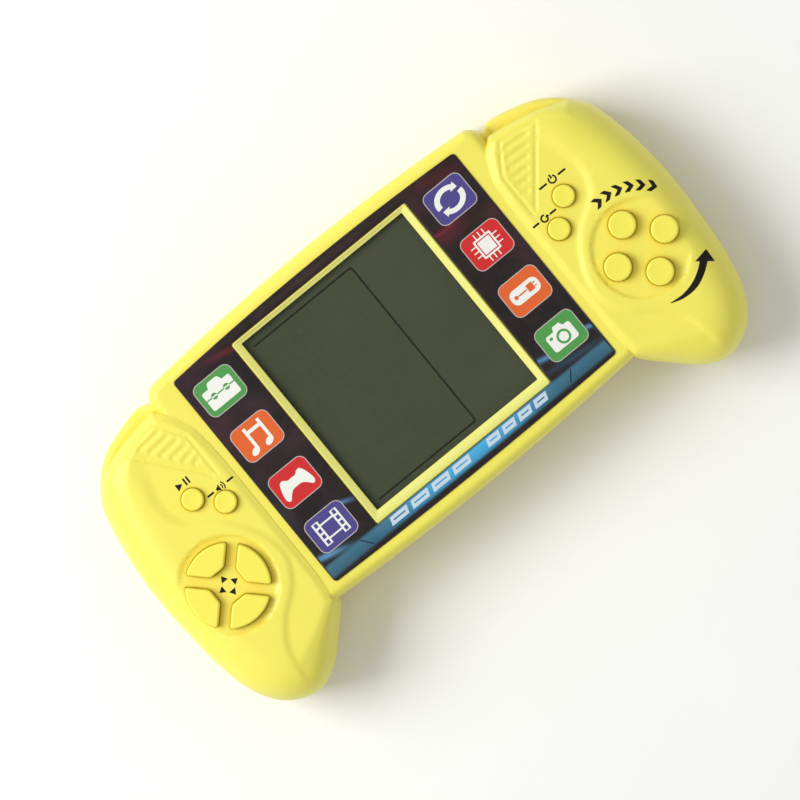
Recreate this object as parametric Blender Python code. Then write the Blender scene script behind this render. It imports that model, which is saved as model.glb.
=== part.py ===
"""Handheld LCD game with two grips, lying on its back with the screen facing +Z.

Lengths are in millimetres and are turned into metres as each mesh or location is made.
Plan positions are measured from the middle of the screen panel (GAME_ORIGIN), X to the
right and Y away from the player. Heights are measured from the flat back.
"""

import math

import bmesh
import bpy
from mathutils import Vector

MM = 0.001
CONTACT_GAP = 0.05  # between pieces that rest on one another
RUN_GAP = 0.3  # between pieces that move or were cut from one another

# Overall size
HALF_WIDTH = 82.5
HEAD_Y = 36.9  # middle of the top edge
FOOT_Y = -36.9  # middle of the bottom edge
HORN_Y = -50.2  # tips of the grips
GAME_ORIGIN = Vector((0.0, -(HEAD_Y + HORN_Y) / 2, 0.0))

# Heights
WALL = 2.0
BACK_Z = 0.0
PART_LINE_Z = 12.0
SHOULDER_Z = 18.5
FACE_Z = 25.2  # flat middle of the front
PAD_Z = 26.6  # crest of the grips
CEILING_Z = 23.3  # inside of the front shell
KEY_TOP_Z = 28.0

# Middle of the body
CENTRE_HALF_TOP = 50.0
TOP_SAG = 2.4
CENTRE_HALF_BOTTOM = 48.0
BOTTOM_SAG = 1.6
GRIP_EDGE_X = 47.0

# Screen
FRAME = (-27.6, -27.3, 27.6, 29.7)  # raised frame round the window: x0, y0, x1, y1
WINDOW = (-25.5, -24.6, 25.5, 28.3)
FRAME_TOP_Z = 25.8
PANEL_HALF_WIDTH = 44.8
PANEL_TOP_Y, PANEL_TOP_RISE = 31.7, 1.3
PANEL_BOTTOM_Y, PANEL_BOTTOM_DROP = -31.9, 0.7
PANEL_THICK = 0.3
LENS_LEDGE = 1.5
LENS_TOP_Z, LENS_THICK = 24.35, 0.8
GLASS = (-28.0, -27.0, 28.0, 30.0)
GLASS_LEDGE = 1.4  # the lower glass reaches this much past the upper one
GLASS_TOP_Z, GLASS_THICK = 23.2, 2.2

# Board
BOARD_Z, BOARD_THICK = 18.2, 1.2
BOARD_TOP_Z = BOARD_Z + BOARD_THICK

# Keys
CLUSTER = Vector((65.75, -15.8, 0.0))  # middle of the round key group; the pad mirrors it
ACTION_REACH, ACTION_RADIUS = 7.4, 3.45
PAD_RADIUS, PAD_CHANNEL, PAD_TRUNCATION = 10.7, 3.0, 4.2
PAD_PUSH_REACH = 7.2
SMALL_RADIUS = 2.8
UPPER_SMALL = Vector((59.1, 6.2, 0.0))
LOWER_SMALL = Vector((53.1, 0.6, 0.0))
KEY_GAP = 0.3
FLANGE_RIM, FLANGE_TOP_Z, FLANGE_THICK = 0.8, 23.0, 1.1
DOME_TOP_Z = FLANGE_TOP_Z - FLANGE_THICK - 0.1
WEB_Z, WEB_THICK = BOARD_TOP_Z + 0.1, 0.9
DISH_RADIUS, DISH_DEPTH = 12.2, 0.9
VALLEY_Z = PAD_Z - 0.9
BORDER_DEPTH = 0.4  # of the groove beside the ornament

# Screws
CASE_SCREWS = [(70.0, 16.0), (66.0, -40.0), (39.0, 30.4)]
BOARD_SCREWS = [(44.0, -29.0), (44.0, 22.0)]
HEAD_SEAT_Z = 9.85

# Battery
CELL_RADIUS, CELL_LENGTH, CELL_PITCH = 7.25, 50.5, 15.2
CELL_AXIS_Z = 9.15
BAY = (-29.0, -20.0, 29.0, 18.0)  # inside of the battery compartment
BAY_WALL, BAY_CEILING_Z = 1.2, 16.7
DOOR = (-28.8, -17.2, 28.8, 17.2)
DOOR_THICK, DOOR_GAP = 1.6, 0.3
HOOK_X = 19.0

# Sounder
SOUNDER = Vector((62.0, -6.0, 0.0))
SOUNDER_RADIUS = 10.0

ROUND = 20  # sides of a large round piece
SMALL_ROUND = 10


# ---------------------------------------------------------------- tools

def clear_scene():
    for item in list(bpy.data.objects):
        bpy.data.objects.remove(item, do_unlink=True)


def material(name, colour, roughness=0.5, metallic=0.0):
    made = bpy.data.materials.new(name)
    made.use_nodes = True
    shader = made.node_tree.nodes["Principled BSDF"]
    shader.inputs["Base Color"].default_value = (*colour, 1.0)
    shader.inputs["Roughness"].default_value = roughness
    shader.inputs["Metallic"].default_value = metallic
    return made


def make_root():
    root = bpy.data.objects.new("game_root", None)
    root.location = GAME_ORIGIN * MM
    bpy.context.scene.collection.objects.link(root)
    return root


def mix(a, b, t):
    return a + (b - a) * t


def curve_through(points, steps):
    """Catmull-Rom points through the given ones, with the last point included."""
    ends = [2 * Vector(points[0]) - Vector(points[1]), 2 * Vector(points[-1]) - Vector(points[-2])]
    control = [ends[0], *map(Vector, points), ends[1]]
    found = []
    for a, b, c, d in zip(control, control[1:], control[2:], control[3:]):
        for step in range(steps):
            t = step / steps
            found.append(
                0.5 * (2 * b + (c - a) * t + (2 * a - 5 * b + 4 * c - d) * t**2
                       + (3 * b - a - 3 * c + d) * t**3)
            )
    return found + [Vector(points[-1])]


def circle(radius, z, sides=ROUND, centre=(0.0, 0.0)):
    return [
        Vector((centre[0] + radius * math.cos(math.tau * k / sides),
                centre[1] + radius * math.sin(math.tau * k / sides), z))
        for k in range(sides)
    ]


def rectangle(box, z):
    x0, y0, x1, y1 = box
    return [Vector((x0, y0, z)), Vector((x1, y0, z)), Vector((x1, y1, z)), Vector((x0, y1, z))]


def grown(box, by):
    x0, y0, x1, y1 = box
    return (x0 - by, y0 - by, x1 + by, y1 + by)


def rounded_rectangle(box, radius, z, steps=3):
    """Corners as quarter arcs, anticlockwise from the lower right."""
    x0, y0, x1, y1 = grown(box, -radius)
    corners = [(x1, y0, -90), (x1, y1, 0), (x0, y1, 90), (x0, y0, 180)]
    found = []
    for x, y, start in corners:
        for step in range(steps + 1):
            angle = math.radians(start + 90 * step / steps)
            found.append(Vector((x + radius * math.cos(angle), y + radius * math.sin(angle), z)))
    return found


def at_height(points, z):
    return [Vector((p[0], p[1], z)) for p in points]


def mirrored(points):
    """Across the YZ plane, in reverse so that the ring still runs anticlockwise."""
    return [Vector((-p[0], *p[1:])) for p in reversed(points)]


def loft(bm, rings):
    """Closed skin through rings of equal point count, capped at both ends."""
    loops = [[bm.verts.new(p) for p in ring] for ring in rings]
    count = len(loops[0])
    for low, high in zip(loops, loops[1:]):
        for k in range(count):
            bm.faces.new((low[k], low[(k + 1) % count], high[(k + 1) % count], high[k]))
    bm.faces.new(list(reversed(loops[0])))
    bm.faces.new(loops[-1])


def prism(bm, points, z0, z1):
    loft(bm, [at_height(points, z0), at_height(points, z1)])


def turned(bm, profile, sides=ROUND, centre=(0.0, 0.0)):
    """Solid of revolution about a vertical axis from (radius, height) pairs, bottom first."""
    loft(bm, [circle(radius, z, sides, centre) for radius, z in profile])


def box_shape(bm, box, z0, z1):
    loft(bm, [rectangle(box, z0), rectangle(box, z1)])


def mesh_of(name, bm, sharp_degrees=35):
    bmesh.ops.recalc_face_normals(bm, faces=bm.faces)
    bmesh.ops.scale(bm, vec=(MM, MM, MM), verts=bm.verts)
    mesh = bpy.data.meshes.new(name)
    bm.to_mesh(mesh)
    bm.free()
    mesh.shade_smooth()
    mesh.set_sharp_from_angle(angle=math.radians(sharp_degrees))
    return mesh


def place(name, mesh, finish, at=(0.0, 0.0, 0.0), parent=None):
    """A named object at a plan position and height in the game's own frame."""
    item = bpy.data.objects.new(name, mesh)
    if finish:
        item.data.materials.append(finish)
    item.location = Vector(at) * MM
    item.parent = parent
    bpy.context.scene.collection.objects.link(item)
    return item


def shape_with(target, operation, draw, *args):
    """Joins a hidden helper solid to the target, or cuts it out, in the target's own axes."""
    bm = bmesh.new()
    draw(bm, *args)
    name = f"{target.name}_{operation.lower()}_{len(target.modifiers) + 1}"
    helper = place(name, mesh_of(name, bm), None, parent=target.parent)
    helper.location = target.location
    helper.rotation_euler = target.rotation_euler
    helper.hide_render = True
    helper.display_type = "WIRE"
    modifier = target.modifiers.new(name, "BOOLEAN")
    modifier.operation = operation
    modifier.solver = "EXACT"
    modifier.object = helper


def join(target, draw, *args):
    shape_with(target, "UNION", draw, *args)


def cut(target, draw, *args):
    shape_with(target, "DIFFERENCE", draw, *args)


# ---------------------------------------------------------------- outlines

def centre_outline(inset=0.0, points=10):
    """Bowed plan of the middle of the body, anticlockwise from the lower right."""
    half = CENTRE_HALF_TOP + 2.8 - inset
    ring = [(CENTRE_HALF_BOTTOM, FOOT_Y + BOTTOM_SAG + inset), (half - 2.0, FOOT_Y + 5.0), (half, HEAD_Y - 8.0),
            (half, HEAD_Y - 5.2), (half - 0.9, HEAD_Y - 3.6 - 0.5 * inset)]
    for k in range(points + 1):
        u = 1 - 2 * k / points
        ring.append((u * (CENTRE_HALF_TOP - 0.6 * inset), HEAD_Y - TOP_SAG * u * u - inset))
    ring += [(-x, y) for x, y in reversed(ring[:5])]
    for k in range(1, points):
        u = -1 + 2 * k / points
        ring.append((u * CENTRE_HALF_BOTTOM, FOOT_Y + BOTTOM_SAG * u * u + inset))
    return [Vector(p) for p in ring]


def grip_outline(detail):
    """Right grip in plan, clockwise, as (x, y, roundness); roundness 0 keeps an edge crisp.

    Detail is how many times finer the outline is than its own points."""
    runs = [
        (0.0, [(GRIP_EDGE_X, -35.0), (GRIP_EDGE_X, -12.0), (GRIP_EDGE_X, 8.0), (GRIP_EDGE_X + 0.5, 20.0)]),
        (0.15, [(GRIP_EDGE_X + 0.5, 20.0), (50.2, 26.6), (53.5, 29.9)]),
        (0.3, [(53.5, 29.9), (60.0, 28.9), (67.0, 27.4), (75.0, 24.4)]),
        (1.0, [(75.0, 24.4), (78.6, 19.2), (80.9, 10.0), (82.2, 0.0), (HALF_WIDTH, -10.0), (82.0, -20.5),
               (80.9, -31.0), (78.4, -40.4), (73.4, -47.2), (66.0, HORN_Y), (59.6, -48.0), (54.0, -43.1)]),
        (0.5, [(54.0, -43.1), (50.0, -39.1), (GRIP_EDGE_X + 0.4, -36.2), (GRIP_EDGE_X, -35.0)]),
    ]
    ring = []
    for roundness, points in runs:
        ring += [(*p, roundness) for p in curve_through(points, detail)[:-1]]
    for _ in range(detail):
        ring = [(x, y, (ring[k - 1][2] + r + ring[(k + 1) % len(ring)][2]) / 3)
                for k, (x, y, r) in enumerate(ring)]
    return ring


SPINE_TOP, SPINE_END = Vector((63.5, 18.0)), Vector((66.0, -37.5))


def grip_ring(z, round_inset, crisp_inset, detail, most=0.82):
    """The grip outline drawn in towards its spine by an amount set by each point's roundness."""
    ring = []
    along = SPINE_END - SPINE_TOP
    for x, y, roundness in grip_outline(detail):
        point = Vector((x, y))
        t = min(1.0, max(0.0, (point - SPINE_TOP).dot(along) / along.length_squared))
        to_spine = SPINE_TOP + along * t - point
        inset = mix(crisp_inset, round_inset, roundness)
        ring.append((*(point + to_spine * min(most, inset / to_spine.length)), z))
    return list(reversed([Vector(p) for p in ring]))


def shoulder_outline(inset=0.0):
    """The lower ledge along the top of the right grip."""
    edge = curve_through([(52.2, 30.9), (56.0, 32.5), (62.0, 31.4), (68.5, 29.2), (73.0, 26.2), (75.2, 24.0)], 2)
    ring = [(x, y - inset) for x, y in edge] + [(72.0, 19.0), (57.0, 22.0), (50.0, 26.0)]
    return [Vector(p) for p in reversed(ring)]


def on_side(points, side):
    return points if side > 0 else mirrored(points)


def valley_outline():
    """Lower ground round the ornament and small keys, out to a swept edge on the grip."""
    sweep = curve_through([(64.5, 25.0), (66.0, 17.0), (67.2, 10.0), (64.8, 2.6), (57.0, -3.0), (51.6, -11.0),
                           (50.3, -19.0), (53.5, -25.5)], 2)
    ring = [*sweep, Vector((49.0, -29.0)), Vector((48.0, 12.0)), Vector((49.8, 22.0)), Vector((54.4, 26.6))]
    return list(reversed(ring))


def wedge(reach, turn, grow=0.0):
    """One quarter of the four-way pad: a wedge with an arc outside and a flat inside."""
    half = PAD_CHANNEL / 2 - grow
    offset = half * math.sqrt(2)
    radius = PAD_RADIUS + grow
    inner = PAD_TRUNCATION - grow
    corner = (offset + math.sqrt(2 * radius**2 - offset**2)) / 2
    spread = math.atan2(corner - offset, corner)
    arc = [mix(-spread, spread, k / 6) for k in range(7)]
    ring = [Vector((inner, -(inner - offset)))]
    ring += [Vector((radius * math.cos(a), radius * math.sin(a))) for a in arc]
    ring.append(Vector((inner, inner - offset)))
    c, s = math.cos(turn), math.sin(turn)
    return [Vector((x * c - y * s - reach[0], x * s + y * c - reach[1])) for x, y in ring]


# ---------------------------------------------------------------- shells

FRONT_GRIP = [(PART_LINE_Z + 0.15, 0.0, 0.0), (17.0, 0.2, 0.0), (20.5, 1.1, 0.0), (23.2, 2.9, 0.0),
              (FACE_Z - 0.3, 5.0, 0.0), (26.0, 8.0, 1.6), (PAD_Z, 12.5, 3.0)]
FRONT_GRIP_HOLLOW = [(PART_LINE_Z - 1.0, 2.0, 1.6), (17.0, 2.2, 1.6), (20.5, 2.9, 1.6), (22.2, 3.6, 1.6),
                     (CEILING_Z, 4.6, 1.6)]
REAR_GRIP = [(BACK_Z, 10.0, 3.0), (0.8, 6.4, 1.5), (2.4, 3.4, 0.6), (4.8, 1.3, 0.2), (7.8, 0.3, 0.0),
             (PART_LINE_Z - 0.15, 0.0, 0.0)]
REAR_GRIP_HOLLOW = [(2.2, 8.6, 1.6), (3.2, 6.0, 1.6), (5.2, 3.6, 1.6), (7.8, 2.4, 1.6),
                    (PART_LINE_Z + 1.0, 2.0, 1.6)]
FRONT_CENTRE = [(PART_LINE_Z + 0.15, 0.0), (21.4, 0.0), (23.4, 0.4), (24.6, 1.2), (FACE_Z, 2.6)]
REAR_CENTRE = [(BACK_Z, 2.8), (0.5, 1.3), (1.6, 0.4), (3.4, 0.0), (PART_LINE_Z - 0.15, 0.0)]


def grip_shape(bm, profile, side, detail=2):
    loft(bm, [on_side(grip_ring(*level, detail), side) for level in profile])


def centre_shape(bm, profile):
    loft(bm, [at_height(centre_outline(inset), z) for z, inset in profile])


def shoulder_shape(bm, levels, side):
    loft(bm, [at_height(on_side(shoulder_outline(inset), side), z) for z, inset in levels])


def posts(bm, places, radius, z0, z1, sides=SMALL_ROUND):
    for x, y in places:
        for side in (1, -1):
            turned(bm, [(radius, z0), (radius, z1)], sides, (side * x, y))


def small_key_holes(bm):
    for x, y in (UPPER_SMALL[:2], LOWER_SMALL[:2]):
        for side in (1, -1):
            turned(bm, [(SMALL_RADIUS + KEY_GAP, 20.0), (SMALL_RADIUS + KEY_GAP, 30.0)], 20, (side * x, y))


def action_key_places():
    return [(name, CLUSTER + ACTION_REACH * Vector((math.cos(a), math.sin(a), 0.0)))
            for name, a in (("right", 0.0), ("top", math.pi / 2), ("left", math.pi), ("bottom", -math.pi / 2))]


def action_key_holes(bm):
    for _, at in action_key_places():
        turned(bm, [(ACTION_RADIUS + KEY_GAP, 20.0), (ACTION_RADIUS + KEY_GAP, 30.0)], ROUND, at[:2])


def pad_key_holes(bm):
    for quarter in range(4):
        ring = wedge((0.0, 0.0), quarter * math.pi / 2, KEY_GAP)
        prism(bm, [Vector((x - CLUSTER.x, y + CLUSTER.y)) for x, y in ring], 20.0, 30.0)


def dish(bm, side):
    turned(bm, [(DISH_RADIUS - 0.9, PAD_Z - DISH_DEPTH), (DISH_RADIUS + 0.9, PAD_Z + 0.9)], 40,
           (side * CLUSTER.x, CLUSTER.y))


def ornament_grooves(bm, side):
    """Ribs of the triangular ornament on the inner top corner of a grip."""
    for row in range(6):
        t = row / 5
        x0, x1 = mix(54.4, 51.6, t), mix(62.0, 52.9, t)
        y = mix(24.2, 12.4, t)
        box = (x0, y - 0.45, x1, y + 0.45) if side > 0 else (-x1, y - 0.45, -x0, y + 0.45)
        box_shape(bm, box, VALLEY_Z - 0.6, PAD_Z + 2.0)


def ornament_border(bm, side):
    """Groove along the long side of the ornament."""
    ring = [Vector((51.1, 8.1)), Vector((51.7, 7.5)), Vector((65.7, 24.6)), Vector((65.1, 25.2))]
    prism(bm, on_side(ring, side), VALLEY_Z - BORDER_DEPTH, PAD_Z + 2.0)


def valley(bm, side):
    prism(bm, on_side(valley_outline(), side), VALLEY_Z, PAD_Z + 2.0)


def front_shell(root, finish):
    bm = bmesh.new()
    centre_shape(bm, FRONT_CENTRE)
    shell = place("front_shell", mesh_of("front_shell", bm), finish, parent=root)
    start = PART_LINE_Z + 0.15
    for side in (1, -1):
        join(shell, grip_shape, FRONT_GRIP, side)
        join(shell, shoulder_shape, [(start, 0.0), (SHOULDER_Z - 1.2, 0.0), (SHOULDER_Z, 1.1)], side)
    cut(shell, centre_shape, [(PART_LINE_Z - 1.0, WALL), (CEILING_Z, WALL)])
    for side in (1, -1):
        cut(shell, grip_shape, FRONT_GRIP_HOLLOW, side, 1)
        cut(shell, valley, side)
        cut(shell, dish, side)
        cut(shell, ornament_grooves, side)
        cut(shell, ornament_border, side)
    join(shell, posts, CASE_SCREWS, 3.0, PART_LINE_Z + 0.3, CEILING_Z + 0.4)
    join(shell, posts, BOARD_SCREWS, 2.3, BOARD_TOP_Z + CONTACT_GAP, CEILING_Z + 0.4)
    join(shell, box_shape, FRAME, FACE_Z - 0.6, FRAME_TOP_Z)
    cut(shell, box_shape, WINDOW, 20.0, 30.0)
    cut(shell, box_shape, grown(WINDOW, LENS_LEDGE), CEILING_Z - 1.0, LENS_TOP_Z + CONTACT_GAP)
    cut(shell, posts, CASE_SCREWS, 1.6, PART_LINE_Z, 21.0)
    cut(shell, posts, BOARD_SCREWS, 1.2, BOARD_TOP_Z - 1.0, 22.6)
    cut(shell, small_key_holes)
    cut(shell, action_key_holes)
    cut(shell, pad_key_holes)


def thumb_notch(bm):
    box_shape(bm, (-6.0, DOOR[3] - 1.0, 6.0, DOOR[3] + 2.4), -1.0, 0.9)


def sound_holes(bm):
    turned(bm, [(0.9, -1.0), (0.9, 4.0)], 8, SOUNDER[:2])
    for k in range(6):
        a = math.tau * k / 6
        turned(bm, [(0.9, -1.0), (0.9, 4.0)], 8,
               (SOUNDER.x + 4.2 * math.cos(a), SOUNDER.y + 4.2 * math.sin(a)))


def lead_holes(bm):
    """Where the battery leads pass through the end wall of the compartment."""
    for y in (-CELL_PITCH / 2, CELL_PITCH / 2):
        box_shape(bm, (BAY[0] - BAY_WALL - 1.0, y - 1.1, BAY[0] + 1.0, y + 1.1), 12.0, 14.2)


def rear_shell(root, finish):
    bm = bmesh.new()
    centre_shape(bm, REAR_CENTRE)
    shell = place("rear_shell", mesh_of("rear_shell", bm), finish, parent=root)
    end = PART_LINE_Z - 0.15
    for side in (1, -1):
        join(shell, grip_shape, REAR_GRIP, side)
        join(shell, shoulder_shape, [(5.4, 1.6), (6.8, 0.0), (end, 0.0)], side)
    cut(shell, centre_shape, [(WALL, WALL), (PART_LINE_Z + 1.0, WALL)])
    for side in (1, -1):
        cut(shell, grip_shape, REAR_GRIP_HOLLOW, side, 1)
    join(shell, box_shape, grown(BAY, BAY_WALL), WALL - 0.5, BAY_CEILING_Z + 1.0)
    cut(shell, box_shape, BAY, WALL, BAY_CEILING_Z)
    cut(shell, box_shape, grown(DOOR, DOOR_GAP), -1.0, WALL + 1.0)
    cut(shell, lead_holes)
    cut(shell, thumb_notch)
    join(shell, posts, CASE_SCREWS, 4.0, 1.4, PART_LINE_Z - 0.15)
    cut(shell, posts, CASE_SCREWS, 2.8, -1.0, HEAD_SEAT_Z)
    cut(shell, posts, CASE_SCREWS, 1.6, HEAD_SEAT_Z - 1.0, PART_LINE_Z + 1.0)
    cut(shell, sound_holes)


def battery_door(root, finish):
    """Hangs on two hooks at its lower edge; its origin lies on that edge, where it turns."""
    hinge = Vector((0.0, DOOR[1], BACK_Z))
    x0, y0, x1, y1 = DOOR
    local = (x0, y0 - hinge.y, x1, y1 - hinge.y)
    bm = bmesh.new()
    loft(bm, [rectangle(grown(local, -0.4), 0.0), rectangle(local, 0.4), rectangle(local, DOOR_THICK)])
    door = place("battery_door", mesh_of("battery_door", bm), finish, at=hinge, parent=root)
    for side in (1, -1):
        x = side * HOOK_X
        join(door, box_shape, (x - 3.0, 0.0, x + 3.0, 2.2), 1.0, 3.3)
        join(door, box_shape, (x - 3.0, -1.8, x + 3.0, 1.0), 2.35, 3.3)
    join(door, box_shape, (-5.0, local[3] - 1.9, 5.0, local[3] - 0.7), 1.0, 6.0)


# ---------------------------------------------------------------- screen

def panel_outline():
    """Printed panel: straight sides, slightly bowed top and bottom."""
    ring = []
    corner = 1.5
    for k in range(9):
        u = -1 + 2 * k / 8
        ring.append((u * (PANEL_HALF_WIDTH - corner), PANEL_BOTTOM_Y - PANEL_BOTTOM_DROP * (1 - u * u)))
    ring += [(PANEL_HALF_WIDTH - 0.4, PANEL_BOTTOM_Y + 0.4), (PANEL_HALF_WIDTH, PANEL_BOTTOM_Y + corner)]
    ring += [(PANEL_HALF_WIDTH, PANEL_TOP_Y - corner), (PANEL_HALF_WIDTH - 0.4, PANEL_TOP_Y - 0.4)]
    for k in range(9):
        u = 1 - 2 * k / 8
        ring.append((u * (PANEL_HALF_WIDTH - corner), PANEL_TOP_Y + PANEL_TOP_RISE * (1 - u * u)))
    ring += [(-PANEL_HALF_WIDTH + 0.4, PANEL_TOP_Y - 0.4), (-PANEL_HALF_WIDTH, PANEL_TOP_Y - corner)]
    ring += [(-PANEL_HALF_WIDTH, PANEL_BOTTOM_Y + corner), (-PANEL_HALF_WIDTH + 0.4, PANEL_BOTTOM_Y + 0.4)]
    return ring


def screen_pieces(root, finishes):
    bm = bmesh.new()
    z0 = FACE_Z + CONTACT_GAP
    prism(bm, panel_outline(), z0, z0 + PANEL_THICK)
    panel = place("label_panel", mesh_of("label_panel", bm), finishes["label"], parent=root)
    cut(panel, box_shape, grown(FRAME, 0.15), z0 - 1.0, z0 + 2.0)

    bm = bmesh.new()
    box_shape(bm, grown(WINDOW, LENS_LEDGE - KEY_GAP), LENS_TOP_Z - LENS_THICK, LENS_TOP_Z)
    place("screen_window", mesh_of("screen_window", bm), finishes["clear"], parent=root)

    bm = bmesh.new()
    x0, y0, x1, y1 = GLASS
    lower = (x0, y0 - GLASS_LEDGE, x1, y1 + GLASS_LEDGE)
    bottom, middle = GLASS_TOP_Z - GLASS_THICK, GLASS_TOP_Z - GLASS_THICK / 2
    loft(bm, [rectangle(lower, bottom), rectangle(lower, middle), rectangle(GLASS, middle),
              rectangle(GLASS, GLASS_TOP_Z)])
    place("lcd_panel", mesh_of("lcd_panel", bm), finishes["lcd"], parent=root)

    strip_z0, strip_z1 = BOARD_TOP_Z + CONTACT_GAP, bottom - CONTACT_GAP
    for name, y in (("top", y1 + GLASS_LEDGE - 1.3), ("bottom", y0 - GLASS_LEDGE + 1.3)):
        bm = bmesh.new()
        box_shape(bm, (x0 + 1.0, y - 1.1, x1 - 1.0, y + 1.1), strip_z0, strip_z1)
        place(f"zebra_strip_{name}", mesh_of("zebra_strip", bm), finishes["rubber"], parent=root)

    bm = bmesh.new()
    box_shape(bm, grown(GLASS, -2.5), strip_z0, strip_z1)
    place("lcd_backing_pad", mesh_of("lcd_backing_pad", bm), finishes["foam"], parent=root)


# ---------------------------------------------------------------- board

def board_outline():
    half = [(47.5, -33.0), (47.5, -28.5), (77.0, -28.5), (77.0, 4.0), (70.0, 11.0), (47.5, 11.0), (47.5, 27.0)]
    return [Vector(p) for p in half] + [Vector((-x, y)) for x, y in reversed(half)]


def board_pieces(root, finishes):
    bm = bmesh.new()
    prism(bm, board_outline(), BOARD_Z, BOARD_TOP_Z)
    board = place("main_board", mesh_of("main_board", bm), finishes["board"], parent=root)
    cut(board, posts, BOARD_SCREWS, 1.3, BOARD_Z - 1.0, BOARD_TOP_Z + 1.0)

    under = BOARD_Z - CONTACT_GAP
    bm = bmesh.new()
    turned(bm, [(1.5, under - 1.6), (3.6, under - 1.3), (5.2, under - 0.6), (5.6, under)], 20)
    place("chip_blob", mesh_of("chip_blob", bm), finishes["epoxy"], at=(-39.5, -16.0, 0.0), parent=root)

    bm = bmesh.new()
    turned(bm, [(2.1, -5.5), (2.5, -5.1), (2.5, 3.8), (2.2, 4.2), (2.5, 4.6), (2.5, 5.5)], 16)
    can = place("power_capacitor", mesh_of("power_capacitor", bm), finishes["sleeve"],
                at=(38.0, 6.0, under - 2.6), parent=root)
    can.rotation_euler = (math.pi / 2, 0.0, 0.0)

    bm = bmesh.new()
    prism(bm, rounded_rectangle((-3.5, -1.3, 3.5, 1.3), 1.2, 0.0), under - 3.2, under)
    place("clock_resonator", mesh_of("clock_resonator", bm), finishes["resonator"], at=(38.0, -8.0, 0.0), parent=root)


# ---------------------------------------------------------------- keys

def round_key_mesh(name, radius, top_z, dish_depth):
    """Cap with an eased edge, a shaft through the shell and a flange that keeps it in."""
    flange_z = FLANGE_TOP_Z - FLANGE_THICK
    profile = [(radius + FLANGE_RIM, flange_z), (radius + FLANGE_RIM, FLANGE_TOP_Z), (radius, FLANGE_TOP_Z),
               (radius, top_z - 0.7), (radius - 0.25, top_z - 0.2), (radius - 0.8, top_z),
               (radius * 0.45, top_z - dish_depth)]
    bm = bmesh.new()
    turned(bm, profile, ROUND)
    return mesh_of(name, bm)


def pad_key_mesh(name, turn, reach):
    flange_z = FLANGE_TOP_Z - FLANGE_THICK
    levels = [(FLANGE_RIM, flange_z), (FLANGE_RIM, FLANGE_TOP_Z), (0.0, FLANGE_TOP_Z), (0.0, KEY_TOP_Z - 0.6),
              (-0.25, KEY_TOP_Z - 0.15), (-0.7, KEY_TOP_Z)]
    bm = bmesh.new()
    loft(bm, [at_height(wedge(reach, turn, grow), z) for grow, z in levels])
    return mesh_of(name, bm)


def keys(root, finish):
    for name, at in action_key_places():
        place(f"action_key_{name}", round_key_mesh("action_key", ACTION_RADIUS, KEY_TOP_Z + 0.2, 0.15), finish,
              at=at, parent=root)
    for quarter, name in enumerate(("right", "up", "left", "down")):
        turn = quarter * math.pi / 2
        reach = PAD_PUSH_REACH * Vector((math.cos(turn), math.sin(turn)))
        at = Vector((-CLUSTER.x + reach.x, CLUSTER.y + reach.y, 0.0))
        place(f"dpad_key_{name}", pad_key_mesh("dpad_key", turn, reach), finish, at=at, parent=root)
    small = [("power_key", UPPER_SMALL, 1), ("reset_key", LOWER_SMALL, 1),
             ("start_pause_key", UPPER_SMALL, -1), ("sound_key", LOWER_SMALL, -1)]
    for name, at, side in small:
        place(name, round_key_mesh("small_key", SMALL_RADIUS, KEY_TOP_Z - 0.6, 0.1), finish,
              at=(side * at.x, at.y, 0.0), parent=root)


def web_outline():
    corners = [(52.5, -27.5), (77.0, -27.5), (77.0, -5.0), (63.8, -1.5), (63.8, 10.3), (56.0, 10.3), (49.0, 4.0),
               (49.0, -3.5), (52.5, -4.5)]
    return [Vector(p) for p in corners]


def domes(bm, places):
    for x, y in places:
        turned(bm, [(3.1, WEB_Z + 0.4), (2.9, WEB_Z + WEB_THICK), (2.2, DOME_TOP_Z)], SMALL_ROUND, (x, y))


def keypads(root, finish):
    """Rubber sheets with one dome under each key."""
    reach = {1: ACTION_REACH, -1: PAD_PUSH_REACH}
    for name, side in (("right", 1), ("left", -1)):
        bm = bmesh.new()
        prism(bm, on_side(web_outline(), side), WEB_Z, WEB_Z + WEB_THICK)
        sheet = place(f"keypad_{name}", mesh_of("keypad", bm), finish, parent=root)
        centre = Vector((side * CLUSTER.x, CLUSTER.y))
        places = [centre + reach[side] * Vector((math.cos(a), math.sin(a)))
                  for a in (0.0, math.pi / 2, math.pi, -math.pi / 2)]
        places += [(side * UPPER_SMALL.x, UPPER_SMALL.y), (side * LOWER_SMALL.x, LOWER_SMALL.y)]
        join(sheet, domes, places)


# ---------------------------------------------------------------- screws

def screw_mesh(name, head_radius, head_height, radius, length):
    """Pan head below z = 0 and shank above it."""
    bm = bmesh.new()
    turned(bm, [(head_radius * 0.7, -head_height), (head_radius, -head_height * 0.55), (head_radius, 0.0),
                (radius, 0.0), (radius, length - 1.2), (radius * 0.35, length)], SMALL_ROUND)
    return mesh_of(name, bm)


def screws(root, finish):
    case = screw_mesh("case_screw", 2.4, 1.8, 1.3, 10.0)
    board = screw_mesh("board_screw", 1.9, 1.2, 0.9, 4.0)
    sets = [("case_screw", case, CASE_SCREWS, HEAD_SEAT_Z - CONTACT_GAP),
            ("board_screw", board, BOARD_SCREWS, BOARD_Z - CONTACT_GAP)]
    for name, mesh, places, z in sets:
        places = [(side * x, y) for x, y in places for side in (1, -1)]
        for number, (x, y) in enumerate(places, 1):
            place(f"{name}_{number}", mesh, None if mesh.materials else finish, at=(x, y, z), parent=root)


# ---------------------------------------------------------------- battery

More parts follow.
